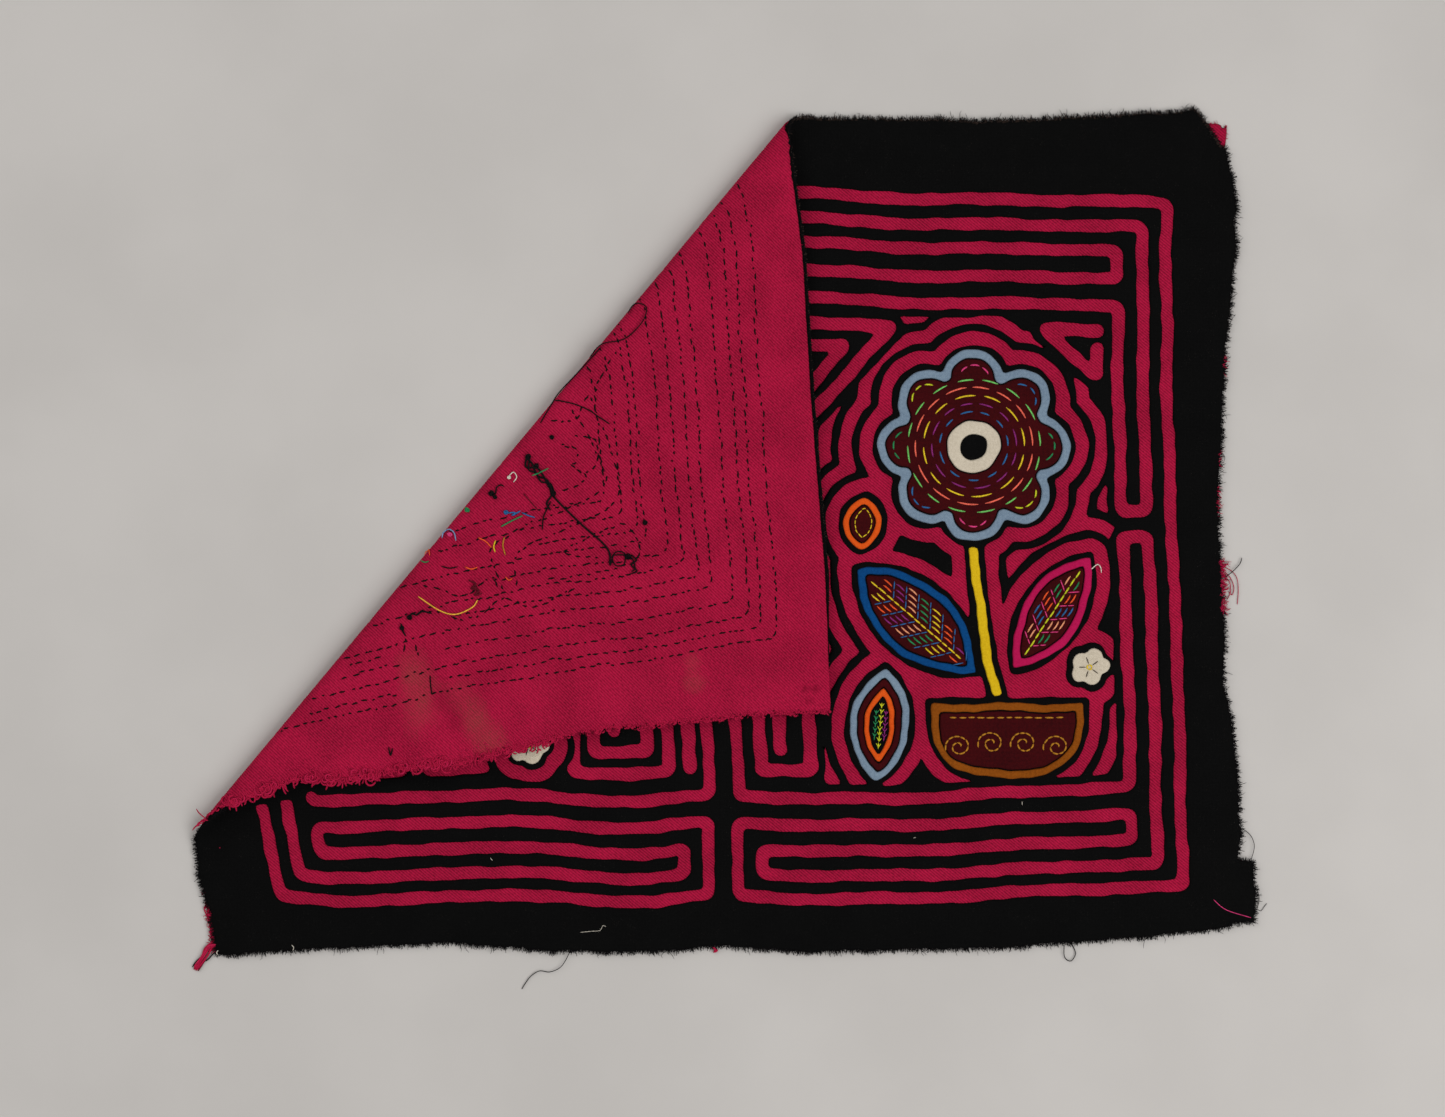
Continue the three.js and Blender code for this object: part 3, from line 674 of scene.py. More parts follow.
def cloth(name, material, loops, low, high, rings, fill_step, roll, extra=np.zeros((0, 2)), lift=None):
    """A closed sheet whose edges are rolled down to its under side, and its flat area in square metres."""
    flat, depth, triangles = cloth_triangles(loops, *cloth_places(loops, rings, fill_step, extra))
    round_off = np.sqrt(1 - (1 - np.clip(depth / roll, 0, 1)) ** 2)
    crown = low + (high - low) * round_off
    if lift is not None:
        crown = crown + lift(flat) * round_off
    inner = np.nonzero(depth > 0)[0]
    under = np.arange(len(flat))
    under[inner] = len(flat) + np.arange(len(inner))
    places = np.concatenate([lay(flat, crown), lay(flat[inner], low)])
    faces = np.concatenate([triangles, under[triangles][:, ::-1]])
    obj = new_object(name, places, [faces], [material], np.concatenate([flat, flat[inner]]))
    return obj, 0.5 * np.abs(triangle_turns(flat, triangles)).sum() * MM * MM


# Finishes

# The slope of twill's ridges across the weave.
TWILL_SLOPE = (0.64, 0.77)


class Shade:
    """A value in a material's node tree. Sums on it add Math nodes."""

    def __init__(self, tree, socket=None):
        self.tree, self.socket = tree, socket

    def node(self, kind, settings, sockets, out=0):
        """A new node's output: its settings are set first, then its sockets' values or links."""
        made = self.tree.nodes.new(kind)
        for key, value in settings.items():
            setattr(made, key, value)
        for key, value in sockets.items():
            if isinstance(value, Shade):
                self.tree.links.new(value.socket, made.inputs[key])
            else:
                made.inputs[key].default_value = value
        return Shade(self.tree, made.outputs[out])

    def math(self, operation, first, second):
        return self.node("ShaderNodeMath", {"operation": operation}, {0: first, 1: second})

    def __add__(self, other):
        return self.math("ADD", self, other)

    def __sub__(self, other):
        return self.math("SUBTRACT", self, other)

    def __rsub__(self, other):
        return self.math("SUBTRACT", other, self)

    def __mul__(self, other):
        return self.math("MULTIPLY", self, other)

    __radd__ = __add__
    __rmul__ = __mul__

    def wave(self):
        """A sine of this angle, from 0 to 1."""
        return self.math("SINE", self, 0.0) * 0.5 + 0.5

    def noise(self, where, scale, detail):
        return self.node("ShaderNodeTexNoise", {}, {"Vector": where, "Scale": scale, "Detail": detail})

    def between(self, low, high):
        """This value spread from low to high over 0 to 1."""
        return self.node("ShaderNodeMapRange", {"interpolation_type": "SMOOTHSTEP"}, {0: self, 1: low, 2: high})

    def bump(self, strength, depth, height):
        """A relief whose depth is in millimetres."""
        return self.node("ShaderNodeBump", {}, {"Strength": strength, "Distance": depth * MM, "Height": height})

    def mix(self, first, second):
        """A colour between two, by this value. They are inputs 6 and 7 of the node, and it is output 2."""
        return self.node(
            "ShaderNodeMix", {"data_type": "RGBA"},
            {0: self, 6: first if isinstance(first, Shade) else (*first, 1), 7: (*second, 1)}, 2,
        )


def new_finish(name, roughness, sheen=0.0, tint=(1, 1, 1)):
    """A new material, and its node tree to paint with."""
    material = bpy.data.materials.new(name)
    material.use_nodes = True
    shader = material.node_tree.nodes["Principled BSDF"]
    for socket, value in (
        ("Roughness", roughness), ("Specular IOR Level", 0.08), ("Sheen Weight", sheen),
        ("Sheen Roughness", 0.55), ("Sheen Tint", (*tint, 1)),
    ):
        shader.inputs[socket].default_value = value
    return material, Shade(material.node_tree)


def feed(material, socket, shade):
    shader = material.node_tree.nodes["Principled BSDF"]
    material.node_tree.links.new(shade.socket, shader.inputs[socket])


def cotton(name, dark, light, pitch, twill=False, lint=None, stains=(), sheen=0.12):
    """Woven cotton on the cloth's own flat map, with a pitch between its ridges in millimetres."""
    material, paint = new_finish(name, 0.94, sheen, light)
    flat = paint.node("ShaderNodeUVMap", {"uv_map": "Flat"}, {})
    per_unit = 2 * math.pi * FLAT_UNIT / pitch
    u, v = (paint.node("ShaderNodeSeparateXYZ", {}, {0: flat}, axis) * per_unit for axis in "XY")
    strand = paint.noise(flat, 9.0, 3.0)
    fuzz = paint.noise(flat, 26.0, 2.0)
    wear = paint.noise(flat, 0.55, 4.0)
    if twill:
        ridge = (u * TWILL_SLOPE[0] + v * TWILL_SLOPE[1] + strand * 2.2).wave()
    else:
        ridge = (u + strand * 1.5).wave() * (v + strand * 1.5).wave() * 1.6
    tone = ridge * 0.5 + strand.between(0.3, 0.7) * 0.28 + wear.between(0.3, 0.7) * 0.22
    colour = tone.mix(dark, light)
    if twill:
        glint = ridge * fuzz.between(0.5, 0.64) * 0.3
        colour = glint.mix(colour, tuple(0.9 * c + 0.025 for c in light))
    if lint is not None:
        specks = fuzz.between(0.66, 0.74) * paint.noise(flat, 1.7, 2.0).between(0.45, 0.65) * 0.5
        colour = specks.mix(colour, lint)
    for at, across, strength, tint in stains:
        middle, reach = (*(at / FLAT_UNIT), 0), across / FLAT_UNIT
        off = paint.node("ShaderNodeVectorMath", {"operation": "SUBTRACT"}, {0: flat, 1: middle})
        far = paint.node("ShaderNodeVectorMath", {"operation": "LENGTH"}, {0: off}, "Value")
        edge = far + ((wear - 0.5) * 1.6 + (strand - 0.5) * 0.5) * reach
        colour = ((1 - edge.between(0.15 * reach, reach)) * strength).mix(colour, tint)
    feed(material, "Base Color", colour)
    feed(material, "Normal", paint.bump(0.5, 0.25, ridge * 0.6 + fuzz * 0.5))
    return material


def yarn(name, colour):
    """Sewing and embroidery thread, with its strands a little lighter and darker."""
    material, paint = new_finish(name, 0.75, 0.15, colour)
    place = paint.node("ShaderNodeTexCoord", {}, {}, "Object")
    strand = paint.noise(place, 2600.0, 2.0)
    shade = tuple(0.55 * c for c in colour)
    glow = tuple(min(1.0, 1.2 * c) for c in colour)
    feed(material, "Base Color", strand.between(0.3, 0.7).mix(shade, glow))
    feed(material, "Normal", paint.bump(0.4, 0.1, strand))
    return material


# Threads


def tubes(paths, radius, sides):
    """Places and faces of closed round threads along paths, an array of threads by points by xyz in metres."""
    count, n, _ = paths.shape
    d = np.gradient(paths, axis=1)
    d /= np.maximum(np.linalg.norm(d, axis=2, keepdims=True), 1e-12)
    side = np.cross(d, (0.0, 0.0, 1.0)) + (1e-9, 0, 0)
    side /= np.linalg.norm(side, axis=2, keepdims=True)
    lift = np.cross(side, d)
    angle = np.arange(sides) * 2 * math.pi / sides
    from_end = np.minimum(np.arange(n), np.arange(n)[::-1])
    r = radius * MM * np.minimum(1, THREAD_TIP + (1 - THREAD_TIP) * from_end)
    round_ = np.cos(angle)[:, None] * side[:, :, None] + np.sin(angle)[:, None] * lift[:, :, None]
    places = (paths[:, :, None] + r[None, :, None, None] * round_).reshape(-1, 3)
    index = np.arange(count * n * sides).reshape(count, n, sides)
    a, b = index[:, :-1], index[:, 1:]
    quads = np.stack([a, b, np.roll(b, -1, 2), np.roll(a, -1, 2)], -1).reshape(-1, 4)
    caps = np.concatenate([index[:, 0], index[:, -1, ::-1]])
    return places, quads, caps


def thread_object(name, groups):
    """One object of many threads: each group has paths, radius in millimetres, sides and material."""
    materials = list(dict.fromkeys(group[3] for group in groups))
    places, quads, caps = [], [], {}
    quad_material, cap_material = [], {}
    start = 0
    for paths, radius, sides, material in groups:
        p, q, c = tubes(paths, radius, sides)
        number = materials.index(material)
        places.append(p)
        quads.append(q + start)
        quad_material.append(np.full(len(q), number))
        caps.setdefault(sides, []).append(c + start)
        cap_material.setdefault(sides, []).append(np.full(len(c), number))
        start += len(p)
    faces = [np.concatenate(quads)] + [np.concatenate(c) for c in caps.values()]
    which = np.concatenate(quad_material + [m for ms in cap_material.values() for m in ms])
    return new_object(name, np.concatenate(places), faces, materials, face_material=which)


def along_line(line, at):
    """Places on a line at distances along it."""
    run = np.concatenate([[0], np.cumsum(np.linalg.norm(np.diff(line, axis=0), axis=1))])
    return np.stack([np.interp(at, run, line[:, k]) for k in (0, 1)], -1)


def line_length(line):
    return np.linalg.norm(np.diff(line, axis=0), axis=1).sum()


def dashes(line, length, gap, uneven, sway, points=4):
    """Running stitches along a line: threads by points by uv."""
    total = line_length(line)
    n = max(1, int(total / (length + gap)))
    lengths = length * rng.uniform(1 - uneven, 1 + uneven, n)
    gaps = gap * rng.uniform(1 - uneven, 1 + uneven, n)
    ends = np.cumsum(lengths + gaps)
    fit = total / ends[-1]
    starts = (ends - lengths - gaps) * fit
    at = starts[:, None] + (lengths * fit)[:, None] * np.linspace(0, 1, points)
    return along_line(line, at) + rng.normal(0, sway, (n, 1, 2)) + rng.normal(0, sway * 0.4, (n, points, 2))


def sewn(paths, level, rise):
    """Stitches that come up out of the cloth and go down again."""
    arch = np.sin(np.linspace(0, math.pi, paths.shape[1]))
    return lay(paths, level + rise * arch)


def smooth_line(points, step):
    """A smooth open line through a few points."""
    p = np.array(points, float)
    p = np.concatenate([2 * p[:1] - p[1:2], p, 2 * p[-1:] - p[-2:-1]])
    parts = []
    for a, b, c, d in zip(p, p[1:], p[2:], p[3:]):
        n = max(2, round(np.linalg.norm(c - b) / step))
        t = np.linspace(0, 1, n, endpoint=False)[:, None]
        bend, twist = 2 * a - 5 * b + 4 * c - d, 3 * b - a - 3 * c + d
        parts.append(0.5 * (2 * b + (c - a) * t + bend * t**2 + twist * t**3))
    return np.concatenate(parts + [p[-2:-1]])


def turned(loop, left=True):
    """A loop with its inside on its left, or on its right."""
    return loop if (loop_area(loop) > 0) == left else loop[::-1]


def pulled(loop):
    """Hand-sewn unevenness: neighbouring edges are pulled the same way."""
    u, v = loop[:, 0], loop[:, 1]
    du = np.sin(v / 2.3 + u / 5.1) + 0.7 * np.sin(v / 1.1 - u / 3.7 + 1)
    dv = np.sin(u / 2.1 - v / 4.7 + 2) + 0.7 * np.sin(u / 1.2 + v / 3.9)
    wide = np.stack([np.sin(v / 6.3 + u / 17 + 0.6), np.sin(u / 5.7 - v / 15 + 1.4)], 1)
    return loop + PULL * np.stack([du, dv], 1) + BOW * wide


# Colours of the cloths and the threads

# The lighter copy of the magenta thread is painted highlight on the backing's frayed threads.
THREAD_COLOURS = {
    "black": (14, 12, 13), "magenta": (170, 20, 60), "yellow": (222, 190, 40), "lime": (196, 200, 40),
    "green": (40, 128, 78), "orange": (226, 84, 40), "pink": (214, 62, 120), "purple": (132, 40, 110),
    "blue": (44, 98, 150), "sky": (120, 150, 190), "ochre": (176, 120, 36), "peach": (226, 150, 110),
    "white": (214, 206, 192), "brown": (58, 46, 40), "maroon": (90, 16, 30), "rose": (182, 26, 70),
    # The darker copy of the magenta thread is painted shade, put in the gaps between the frayed threads.
    "amber": (226, 170, 60), "wine": (104, 4, 32), "coral": (236, 104, 84), "mint": (110, 190, 96),
}
THREADS = {name: yarn(name + "_thread", srgb(*colour)) for name, colour in THREAD_COLOURS.items()}
# Stains on the folded back: place on the flap, how far across, strength, tint.
RUST, WINE = srgb(146, 100, 74), srgb(96, 2, 26)
STAINS = (
    ((-130, -55), 10, 0.07, RUST), ((-128, -65), 12, 0.09, RUST), ((-125, -76), 11, 0.08, RUST),
    ((-110, -67), 10, 0.05, RUST), ((-103, -75), 9, 0.07, RUST), ((-100, -83), 12, 0.09, RUST),
    ((-95, -88), 9, 0.06, RUST), ((-13, -54), 6, 0.07, RUST), ((-12, -62), 7, 0.08, RUST),
    ((33.6, -65.0), 3.4, 0.5, WINE), ((37.8, -65.2), 3.6, 0.5, WINE), ((35.6, -69.8), 3.6, 0.45, WINE),
    ((-116, -70), 7, 0.25, WINE), ((-112, -78), 6, 0.22, WINE),
)
# Pitch of the weaves.
BACKING_WEAVE = 1.0
TOP_WEAVE = 0.6
PATCH_WEAVE = 0.55
# The patches' cottons: dark and light.
PATCH_COLOURS = {
    "maroon": ((38, 3, 6), (70, 7, 11)), "light_blue": ((94, 112, 132), (132, 151, 166)),
    "blue": ((4, 50, 98), (10, 76, 134)), "pink": ((154, 10, 64), (188, 24, 84)),
    "orange": ((190, 66, 14), (226, 92, 26)), "yellow": ((190, 152, 12), (222, 188, 30)),
    "brown": ((108, 54, 6), (150, 80, 16)), "white": ((178, 166, 146), (212, 201, 182)),
}
SLOT_FINISH = {
    "backing": cotton(
        "magenta_cotton", srgb(98, 3, 28), srgb(180, 20, 63), BACKING_WEAVE, twill=True, sheen=0.05,
        stains=[(unfold(np.array(at)), *looks) for at, *looks in STAINS],
    ),
    "top": cotton("black_cotton", srgb(2, 2, 2), srgb(8, 8, 8), TOP_WEAVE, lint=srgb(70, 64, 60), sheen=0.0),
}
for name, (dark, light) in PATCH_COLOURS.items():
    SLOT_FINISH[name] = cotton(name + "_cotton", srgb(*dark), srgb(*light), PATCH_WEAVE)


# The two cloths


def raw_edge(points, ragged):
    """A cut edge, ragged but for its upper left side and the upper right corner, which are cut straight."""
    loop = even_loop(divided(ring_of(turned(points)), 0.9)[:-1], EDGE_STEP, 1)
    n = len(loop)
    tug = rng.normal(0, ragged * FINE_TUG, n)
    for wave, size in TUGS:
        tug += ragged * size * np.sin(2 * math.pi * (n // wave) * np.arange(n) / n + rng.uniform(0, 6.28))
    u, v = loop.T
    straight = ((u < 0) & (v > 150)) | ((u > 196) & (v > 158))
    return loop + left_of(loop) * np.where(straight, 0.2 * tug, tug)[:, None]


def cut_edge(all_round, flap_lower, flap_right):
    """The edge drawn in a little, by other amounts along the flap's frayed lower side and its right side."""
    u, v = EDGE.T
    inset = np.where((u < 0) & (v > 163), flap_right, all_round)
    inset = np.where((u < -205) & (v > -100), flap_lower, inset)
    return EDGE - left_of(EDGE) * inset[:, None]


def backing_edge():
    """The backing's edge, which shows past the top cloth at the lower left and the upper right corner."""
    u, v = EDGE.T
    all_round, *flap_sides = BACKING_INSET
    edge = cut_edge(np.where((u < -210) & (v < -150), -BACKING_SHOWS, all_round), *flap_sides)
    start, end = BACKING_CORNER_AT
    return np.concatenate([edge[:start], BACKING_CORNER, edge[end:]])


def bend_places():
    """Rows of places along the fold, close enough to turn it smoothly."""
    run = np.arange(0, np.linalg.norm(CREASE_LEFT - CREASE_TOP) + 40, FOLD_STEP) - 20
    across = np.linspace(0, BEND_LENGTH, FOLD_ROWS) - LOOP_RADIUS
    grid = CREASE_TOP + run[:, None, None] * ALONG + across[None, :, None] * OUT
    return grid.reshape(-1, 2)


def unevenness(uv):
    """Small rises of the top cloth, and a soft ridge along its lower left edge."""
    u, v = uv[:, 0], uv[:, 1]
    ridge = hump(u - RIDGE_LEAN * (v - RIDGE_MIDDLE), RIDGE_AT, RIDGE_WIDTH)
    ridge = ridge * hump(v, RIDGE_MIDDLE, RIDGE_REACH)
    small = np.sin(u / 7.3 + v / 19) * np.sin(v / 6.1) + np.sin(u / 17 - v / 11)
    return SMALL_RISE * small + RIDGE_RISE * ridge


BACKING_LOOP = raw_edge(backing_edge(), BACKING_RAGGED)
TOP_LOOP = raw_edge(cut_edge(*TOP_INSET), TOP_RAGGED)
CHANNELS = channel_loops()
backing, backing_area = cloth(
    "backing_cloth_sheet", SLOT_FINISH["backing"], [BACKING_LOOP], BACKING_LOW, BACKING_HIGH,
    rings=(0.6,), fill_step=4.2, roll=0.6, extra=bend_places(),
)
top, top_area = cloth(
    "top_cloth_sheet", SLOT_FINISH["top"], [TOP_LOOP] + [loop[::-1] for loop in CHANNELS], TOP_LOW, TOP_HIGH,
    rings=(0.4, 1.2), fill_step=3.6, roll=1.2, extra=bend_places(), lift=unevenness,
)

# The patches: name, finish, outer outline, and the outline of its opening.
PATCHES = (
    ("flower_rim", "light_blue", petalled_outline(FLOWER, 0), petalled_outline(FLOWER, FLOWER_RIM)),
    ("flower_disc", "maroon", petalled_outline(FLOWER, FLOWER_RIM + AIR), flower_circle(RING_OUTER + AIR)),
    ("flower_ring", "white", flower_circle(RING_OUTER), flower_circle(RING_INNER)),
    ("blue_leaf_rim", "blue", leaf_outline(BLUE_LEAF, 0), leaf_outline(BLUE_LEAF, LEAF_RIM)),
    ("blue_leaf", "maroon", leaf_outline(BLUE_LEAF, LEAF_RIM + AIR), None),
    ("pink_leaf_rim", "pink", leaf_outline(PINK_LEAF, 0), leaf_outline(PINK_LEAF, LEAF_RIM)),
    ("pink_leaf", "maroon", leaf_outline(PINK_LEAF, LEAF_RIM + AIR), None),
    *(
        (name, finish, leaf_outline(POD, start), leaf_outline(POD, end))
        for (name, start, end), finish in zip(POD_RIMS, ("light_blue", "maroon", "orange"))
    ),
    ("bud_rim", "orange", leaf_outline(BUD, 0), leaf_outline(BUD, BUD_RIM)),
    ("bud", "maroon", leaf_outline(BUD, BUD_RIM + AIR), None),
    ("pot_rim", "brown", bowl_outline(POT, 0), bowl_outline(POT, POT_RIM)),
    ("pot", "maroon", bowl_outline(POT, POT_RIM + AIR), None),
    ("stem", "yellow", strip_outline(stem_line(), STEM_WIDTH), None),
    ("blossom", "white", petalled_outline(BLOSSOM, 0, BLOSSOM_STEP), None),
    ("second_blossom", "white", petalled_outline(SECOND_BLOSSOM, 0, BLOSSOM_STEP), None),
)
for name, finish, outer, opening in PATCHES:
    loops = [pulled(turned(even_loop(outer, OUTLINE_STEP, 1)))]
    if opening is not None:
        loops.append(pulled(turned(even_loop(opening, OUTLINE_STEP, 1), left=False)))
    patch, _ = cloth(
        name + "_patch", SLOT_FINISH[finish], loops, PATCH_LOW, PATCH_HIGH,
        rings=(0.3, 0.75), fill_step=2.0, roll=0.75,
    )
    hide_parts(name)


# Stitches on the back

# Lines of stitches on the folded corner: the row's v, the column's u, how far down the column runs.
FLAP_LINES = (
    (144.8, -182.5, -150), (137.8, -177.5, -6), (132.8, -172.3, -150), (126.1, -165.3, -6),
    (117.1, -158.0, -150), (111.6, -152.5, 2), (105.7, -146.6, -150), (99.6, -140.5, 20),
    (90.5, -134.0, -150), (87.4, -129.0, 40), (81.3, -122.0, -150), (74.6, -115.0, -150),
)
ROW_START = 60
ROW_SLOPE = 0.07
ROW_MIDDLE = -112
ROW_TURN = 3.6
COLUMN_END = -150.0
LINE_STEP = 3.0
LEAST_RUN = 6
# The rows begin inside the fold, and near it they are drawn down along it.
ROWS_IN_FOLD = 0.3 * BEND_LENGTH
FOLD_DRAW = 8.0
FOLD_DRAW_REACH = 18.0
# More columns between them that start part of the way down: u, from v.
FLAP_ENDS = ((-178.2, -27), (-165.8, -24), (-161.2, -30), (-152.6, -36), (-140.5, -52), (-129.0, -60))
# Short lines nearer the fold: places on the flap.
FLAP_FILLERS = (
    ((-73, -20), (-37, -12), (-42, 3), (-66, -8), (-50, -10)),
    ((-86, -22), (-84, -7), (-46, 12), (-47, 34), (-56, 58)),
    ((-92, -23), (-94, -4), (-52, 17), (-54, 36), (-64, 52)),
    ((-62, 40), (-53, 38), (-53, 28), (-60, 24)),
    ((-68, 36), (-61, 34), (-61, 29), (-66, 27)),
    ((-72, 46), (-62, 47), (-57, 54), (-44, 76)),
    ((-67, 17), (-57, 22), (-66, 30)),
    ((-124, -22), (-108, -26), (-97, -19), (-93, -24)),
    ((-122, -32), (-104, -36), (-92, -27), (-80, -31), (-60, -22)),
    ((-133.7, -38.5), (-132.5, -42.9), (-131.3, -45.3), (-132.0, -48.9), (-132.5, -52.0)),
    ((-128.0, -46.5), (-127.2, -50.0), (-126.2, -54.0)),
)
BACK_STITCH = {"length": 2.0, "gap": 1.6, "uneven": 0.6, "sway": 0.32}
BACK_STITCH_RISE = -0.14
FLAP_STITCH_LEVEL = BACKING_LOW + 0.02
UNDER_STITCH_LEVEL = BACKING_LOW + 0.17
BACK_THREAD = 0.36
# How far from the fold the stitches on the under side end.
UNDER_MARGIN = 4


def runs_where(line, keep):
    """The stretches of a line whose points are kept."""
    ends = np.flatnonzero(np.diff(np.concatenate([[0], keep.astype(int), [0]])))
    return [line[a:b] for a, b in zip(ends[::2], ends[1::2]) if b - a >= LEAST_RUN]


def on_flap(uv, margin=0.0):
    return past_bend(uv) > BEND_LENGTH + margin


def drawn_along_fold(line):
    """A line on the flap, drawn down along the fold where it nears it."""
    spots = lay(line, 0.0)[:, :2] / MM
    from_fold = (CREASE_TOP - spots) @ OUT
    return unfold(spots + ALONG * FOLD_DRAW * np.exp(-from_fold / FOLD_DRAW_REACH)[:, None])


def flap_lines():
    """The lines of stitches that show on the folded corner."""
    lines = []
    for row, column, end in FLAP_LINES:
        start, corner = (row + ROW_SLOPE * (u - ROW_MIDDLE) for u in (ROW_START, column))
        turns = [(ROW_START, start), (column, corner), (column, end)]
        line = wander(rounded_line(turns, ROW_TURN, LINE_STEP))
        lines += [drawn_along_fold(run) for run in runs_where(line, on_flap(line, -ROWS_IN_FOLD))]
    for column, start in FLAP_ENDS:
        line = wander(divided(np.array([(column, start), (column, COLUMN_END)]), LINE_STEP))
        lines += [drawn_along_fold(run) for run in runs_where(line, on_flap(line))]
    return lines + [unfold(smooth_line(spots, LINE_STEP / 2)) for spots in FLAP_FILLERS]


def under_lines():
    """The same stitches on the under side, beside every channel that lies flat."""
    lines = []
    for loop in CHANNELS:
        line = ring_of(loop - left_of(loop))
        lines += runs_where(line, past_bend(line) < -UNDER_MARGIN)
    return lines


back_groups = []
for lines, level in ((flap_lines(), FLAP_STITCH_LEVEL), (under_lines(), UNDER_STITCH_LEVEL)):
    for line in lines:
        stitches = sewn(dashes(line, **BACK_STITCH), level, BACK_STITCH_RISE)
        back_groups.append((stitches, BACK_THREAD, 4, THREADS["black"]))
back_stitches = thread_object("back_stitches", back_groups)


# Embroidery on the patches

EMBROIDERY = PATCH_HIGH - 0.12
# Rings round the flower: radius, colour, length of the stitches, gap between them.
FLOWER_RINGS = (
    (14.2, "blue", 4.4, 3.4), (17.6, "purple", 6.0, 3.0), (21.0, "yellow", 7.2, 3.2), (24.4, "coral", 7.6, 3.0),
    (27.6, "mint", 6.4, 4.4),
)
PETAL_ARC = 6.6
PETAL_TURN = 64
PETAL_COLOURS = ("green", "blue", "pink", "lime")
VEIN_GAP = 6.6
VEIN_LEAN = 0.75
STITCH_GAP = 2.5
# Lines of feather stitch down the pod: offset, colour, where they start and end.
POD_LINES = ((0.0, "lime", 15.0, 34.5), (-2.0, "green", 18, 31), (2.0, "purple", 18, 31))
FEATHER_GAP = 2.4
# Scrolls on the pot: how far right of its middle and under its brim, and the radius at either end.
POT_SCROLLS = ((-20.5, 18.1), (-6.9, 16.7), (6.7, 16.7), (20.3, 18.1))
SCROLL_RADIUS = (1.0, 5.6)
SCROLL_TURN = 560
front_groups = []


def embroider(line, colour, length, gap, radius=0.38, level=EMBROIDERY, rise=0.32):
    """A line of stitches of one colour."""
    stitches = dashes(np.asarray(line, float), length, gap, uneven=0.2, sway=0.06, points=5)
    front_groups.append((sewn(stitches, level, rise), radius, 5, THREADS[colour]))


def arc_line(at, radius, start, end, points):
    return np.array(at) + radius * directions(np.radians(np.linspace(start, end, points)))


def leaf_stitches(shape, colours, midrib, vein):
    """A midrib, side veins slanting from it, and short curved stitches in the stripes between the veins."""
    base, _, length, axis, across = leaf_frame(shape)
    room = shape["half"] - LEAF_RIM - 1.2

    def half_at(t):
        return room * (1 - (2 * t - 1) ** 2)

    embroider(base + axis * np.linspace(0.13, 0.88, 12)[:, None] * length, midrib, 3.4, 0.3)
    for number, start in enumerate(np.arange(0.1, 0.74, VEIN_GAP / length)):
        for side in (-1, 1):
            lean = axis * VEIN_LEAN + across * side
            lean = lean / np.linalg.norm(lean)
            root = base + axis * start * length + across * side * 0.7
            reach = np.arange(0.0, 2 * room, 0.4)
            there = root + lean * reach[:, None]
            along = (there - base) @ axis / length
            fits = np.abs((there - base) @ across) < half_at(np.clip(along, 0, 1)) - 0.5
            far = reach[fits].max(initial=0)
            if far < 3:
                continue
            embroider(root + lean * np.linspace(0, far, 6)[:, None], vein, 2.6, 0.3, 0.26)
            for at in np.arange(1.9, far - 0.6, STITCH_GAP):
                middle = root + lean * at + axis * 0.5 * VEIN_GAP
                if abs((middle - base) @ across) > half_at((middle - base) @ axis / length) - 1.0:
                    continue
                bend = np.linspace(-0.34, 0.34, 5)[:, None]
                mark = middle + axis * bend * VEIN_GAP - lean * 2.2 * (bend**2 - 0.05)
                embroider(mark, colours[(number + (side > 0)) % len(colours)], 4.0, 0.05, 0.36)


def pod_stitches():
    """Feather stitch on the black cloth inside the pod."""
    base, _, _, axis, across = leaf_frame(POD)
    for offset, colour, start, end in POD_LINES:
        spine = base + axis * np.linspace(start, end, 10)[:, None] + across * offset
        embroider(spine, colour, 2.2, 0.3, 0.24, TOP_HIGH, 0.25)
        for place in along_line(spine, np.arange(1.5, line_length(spine), FEATHER_GAP)):
            for side in (-1, 1):
                barb = place - axis * 1.5 + across * side * 1.0
                embroider(np.linspace(place, barb, 4), colour, 1.6, 0.1, 0.2, TOP_HIGH, 0.22)


def pot_stitches():
    """A row of scrolls, and a line under the brim."""
    turn = np.radians(np.linspace(0, SCROLL_TURN, 60))
    scroll = np.linspace(*SCROLL_RADIUS, 60)[:, None] * directions(turn) * (1, 0.92)
    for right, under in POT_SCROLLS:
        embroider((POT["u"] + right, POT["top"] - under) + scroll, "ochre", 2.4, 0.2)
    level = POT["top"] - POT_RIM - 2.6
    embroider(np.linspace((POT["u"] - 24, level), (POT["u"] + 24, level), 20), "ochre", 2.8, 1.0)


for radius, colour, length, gap in FLOWER_RINGS:
    embroider(arc_line(FLOWER["at"], radius, 0, 360, 90), colour, length, gap)
for petal in range(FLOWER["petals"]):
    turn = 360 * petal / FLOWER["petals"]
    middle = np.array(FLOWER["at"]) + FLOWER["reach"] * directions(math.radians(turn))
    arc = arc_line(middle, PETAL_ARC, turn - PETAL_TURN, turn + PETAL_TURN, 24)
    embroider(arc, PETAL_COLOURS[petal % len(PETAL_COLOURS)], 3.0, 1.2)
leaf_stitches(BLUE_LEAF, ("purple", "orange", "yellow", "green", "peach"), "yellow", "blue")
leaf_stitches(PINK_LEAF, ("orange", "green", "peach", "blue"), "lime", "pink")
pod_stitches()
embroider(ring_of(leaf_outline(BUD, BUD_RIM + 1.9)), "yellow", 1.9, 0.3, 0.24)
pot_stitches()
for blossom in (BLOSSOM, SECOND_BLOSSOM):
    centre = np.array(blossom["at"])
    for petal in range(blossom["petals"]):
        tip = blossom["reach"] * directions(2 * math.pi * (petal + 0.5) / blossom["petals"])
        embroider(np.linspace(centre + 0.3 * tip, centre + tip, 4), "brown", 3.0, 0.1, 0.2)
    embroider(arc_line(centre, 1.0, 0, 360, 10), "yellow", 1.5, 0.05, 0.35)
embroidery = thread_object("embroidery", front_groups)


# Frayed edges and loose threads

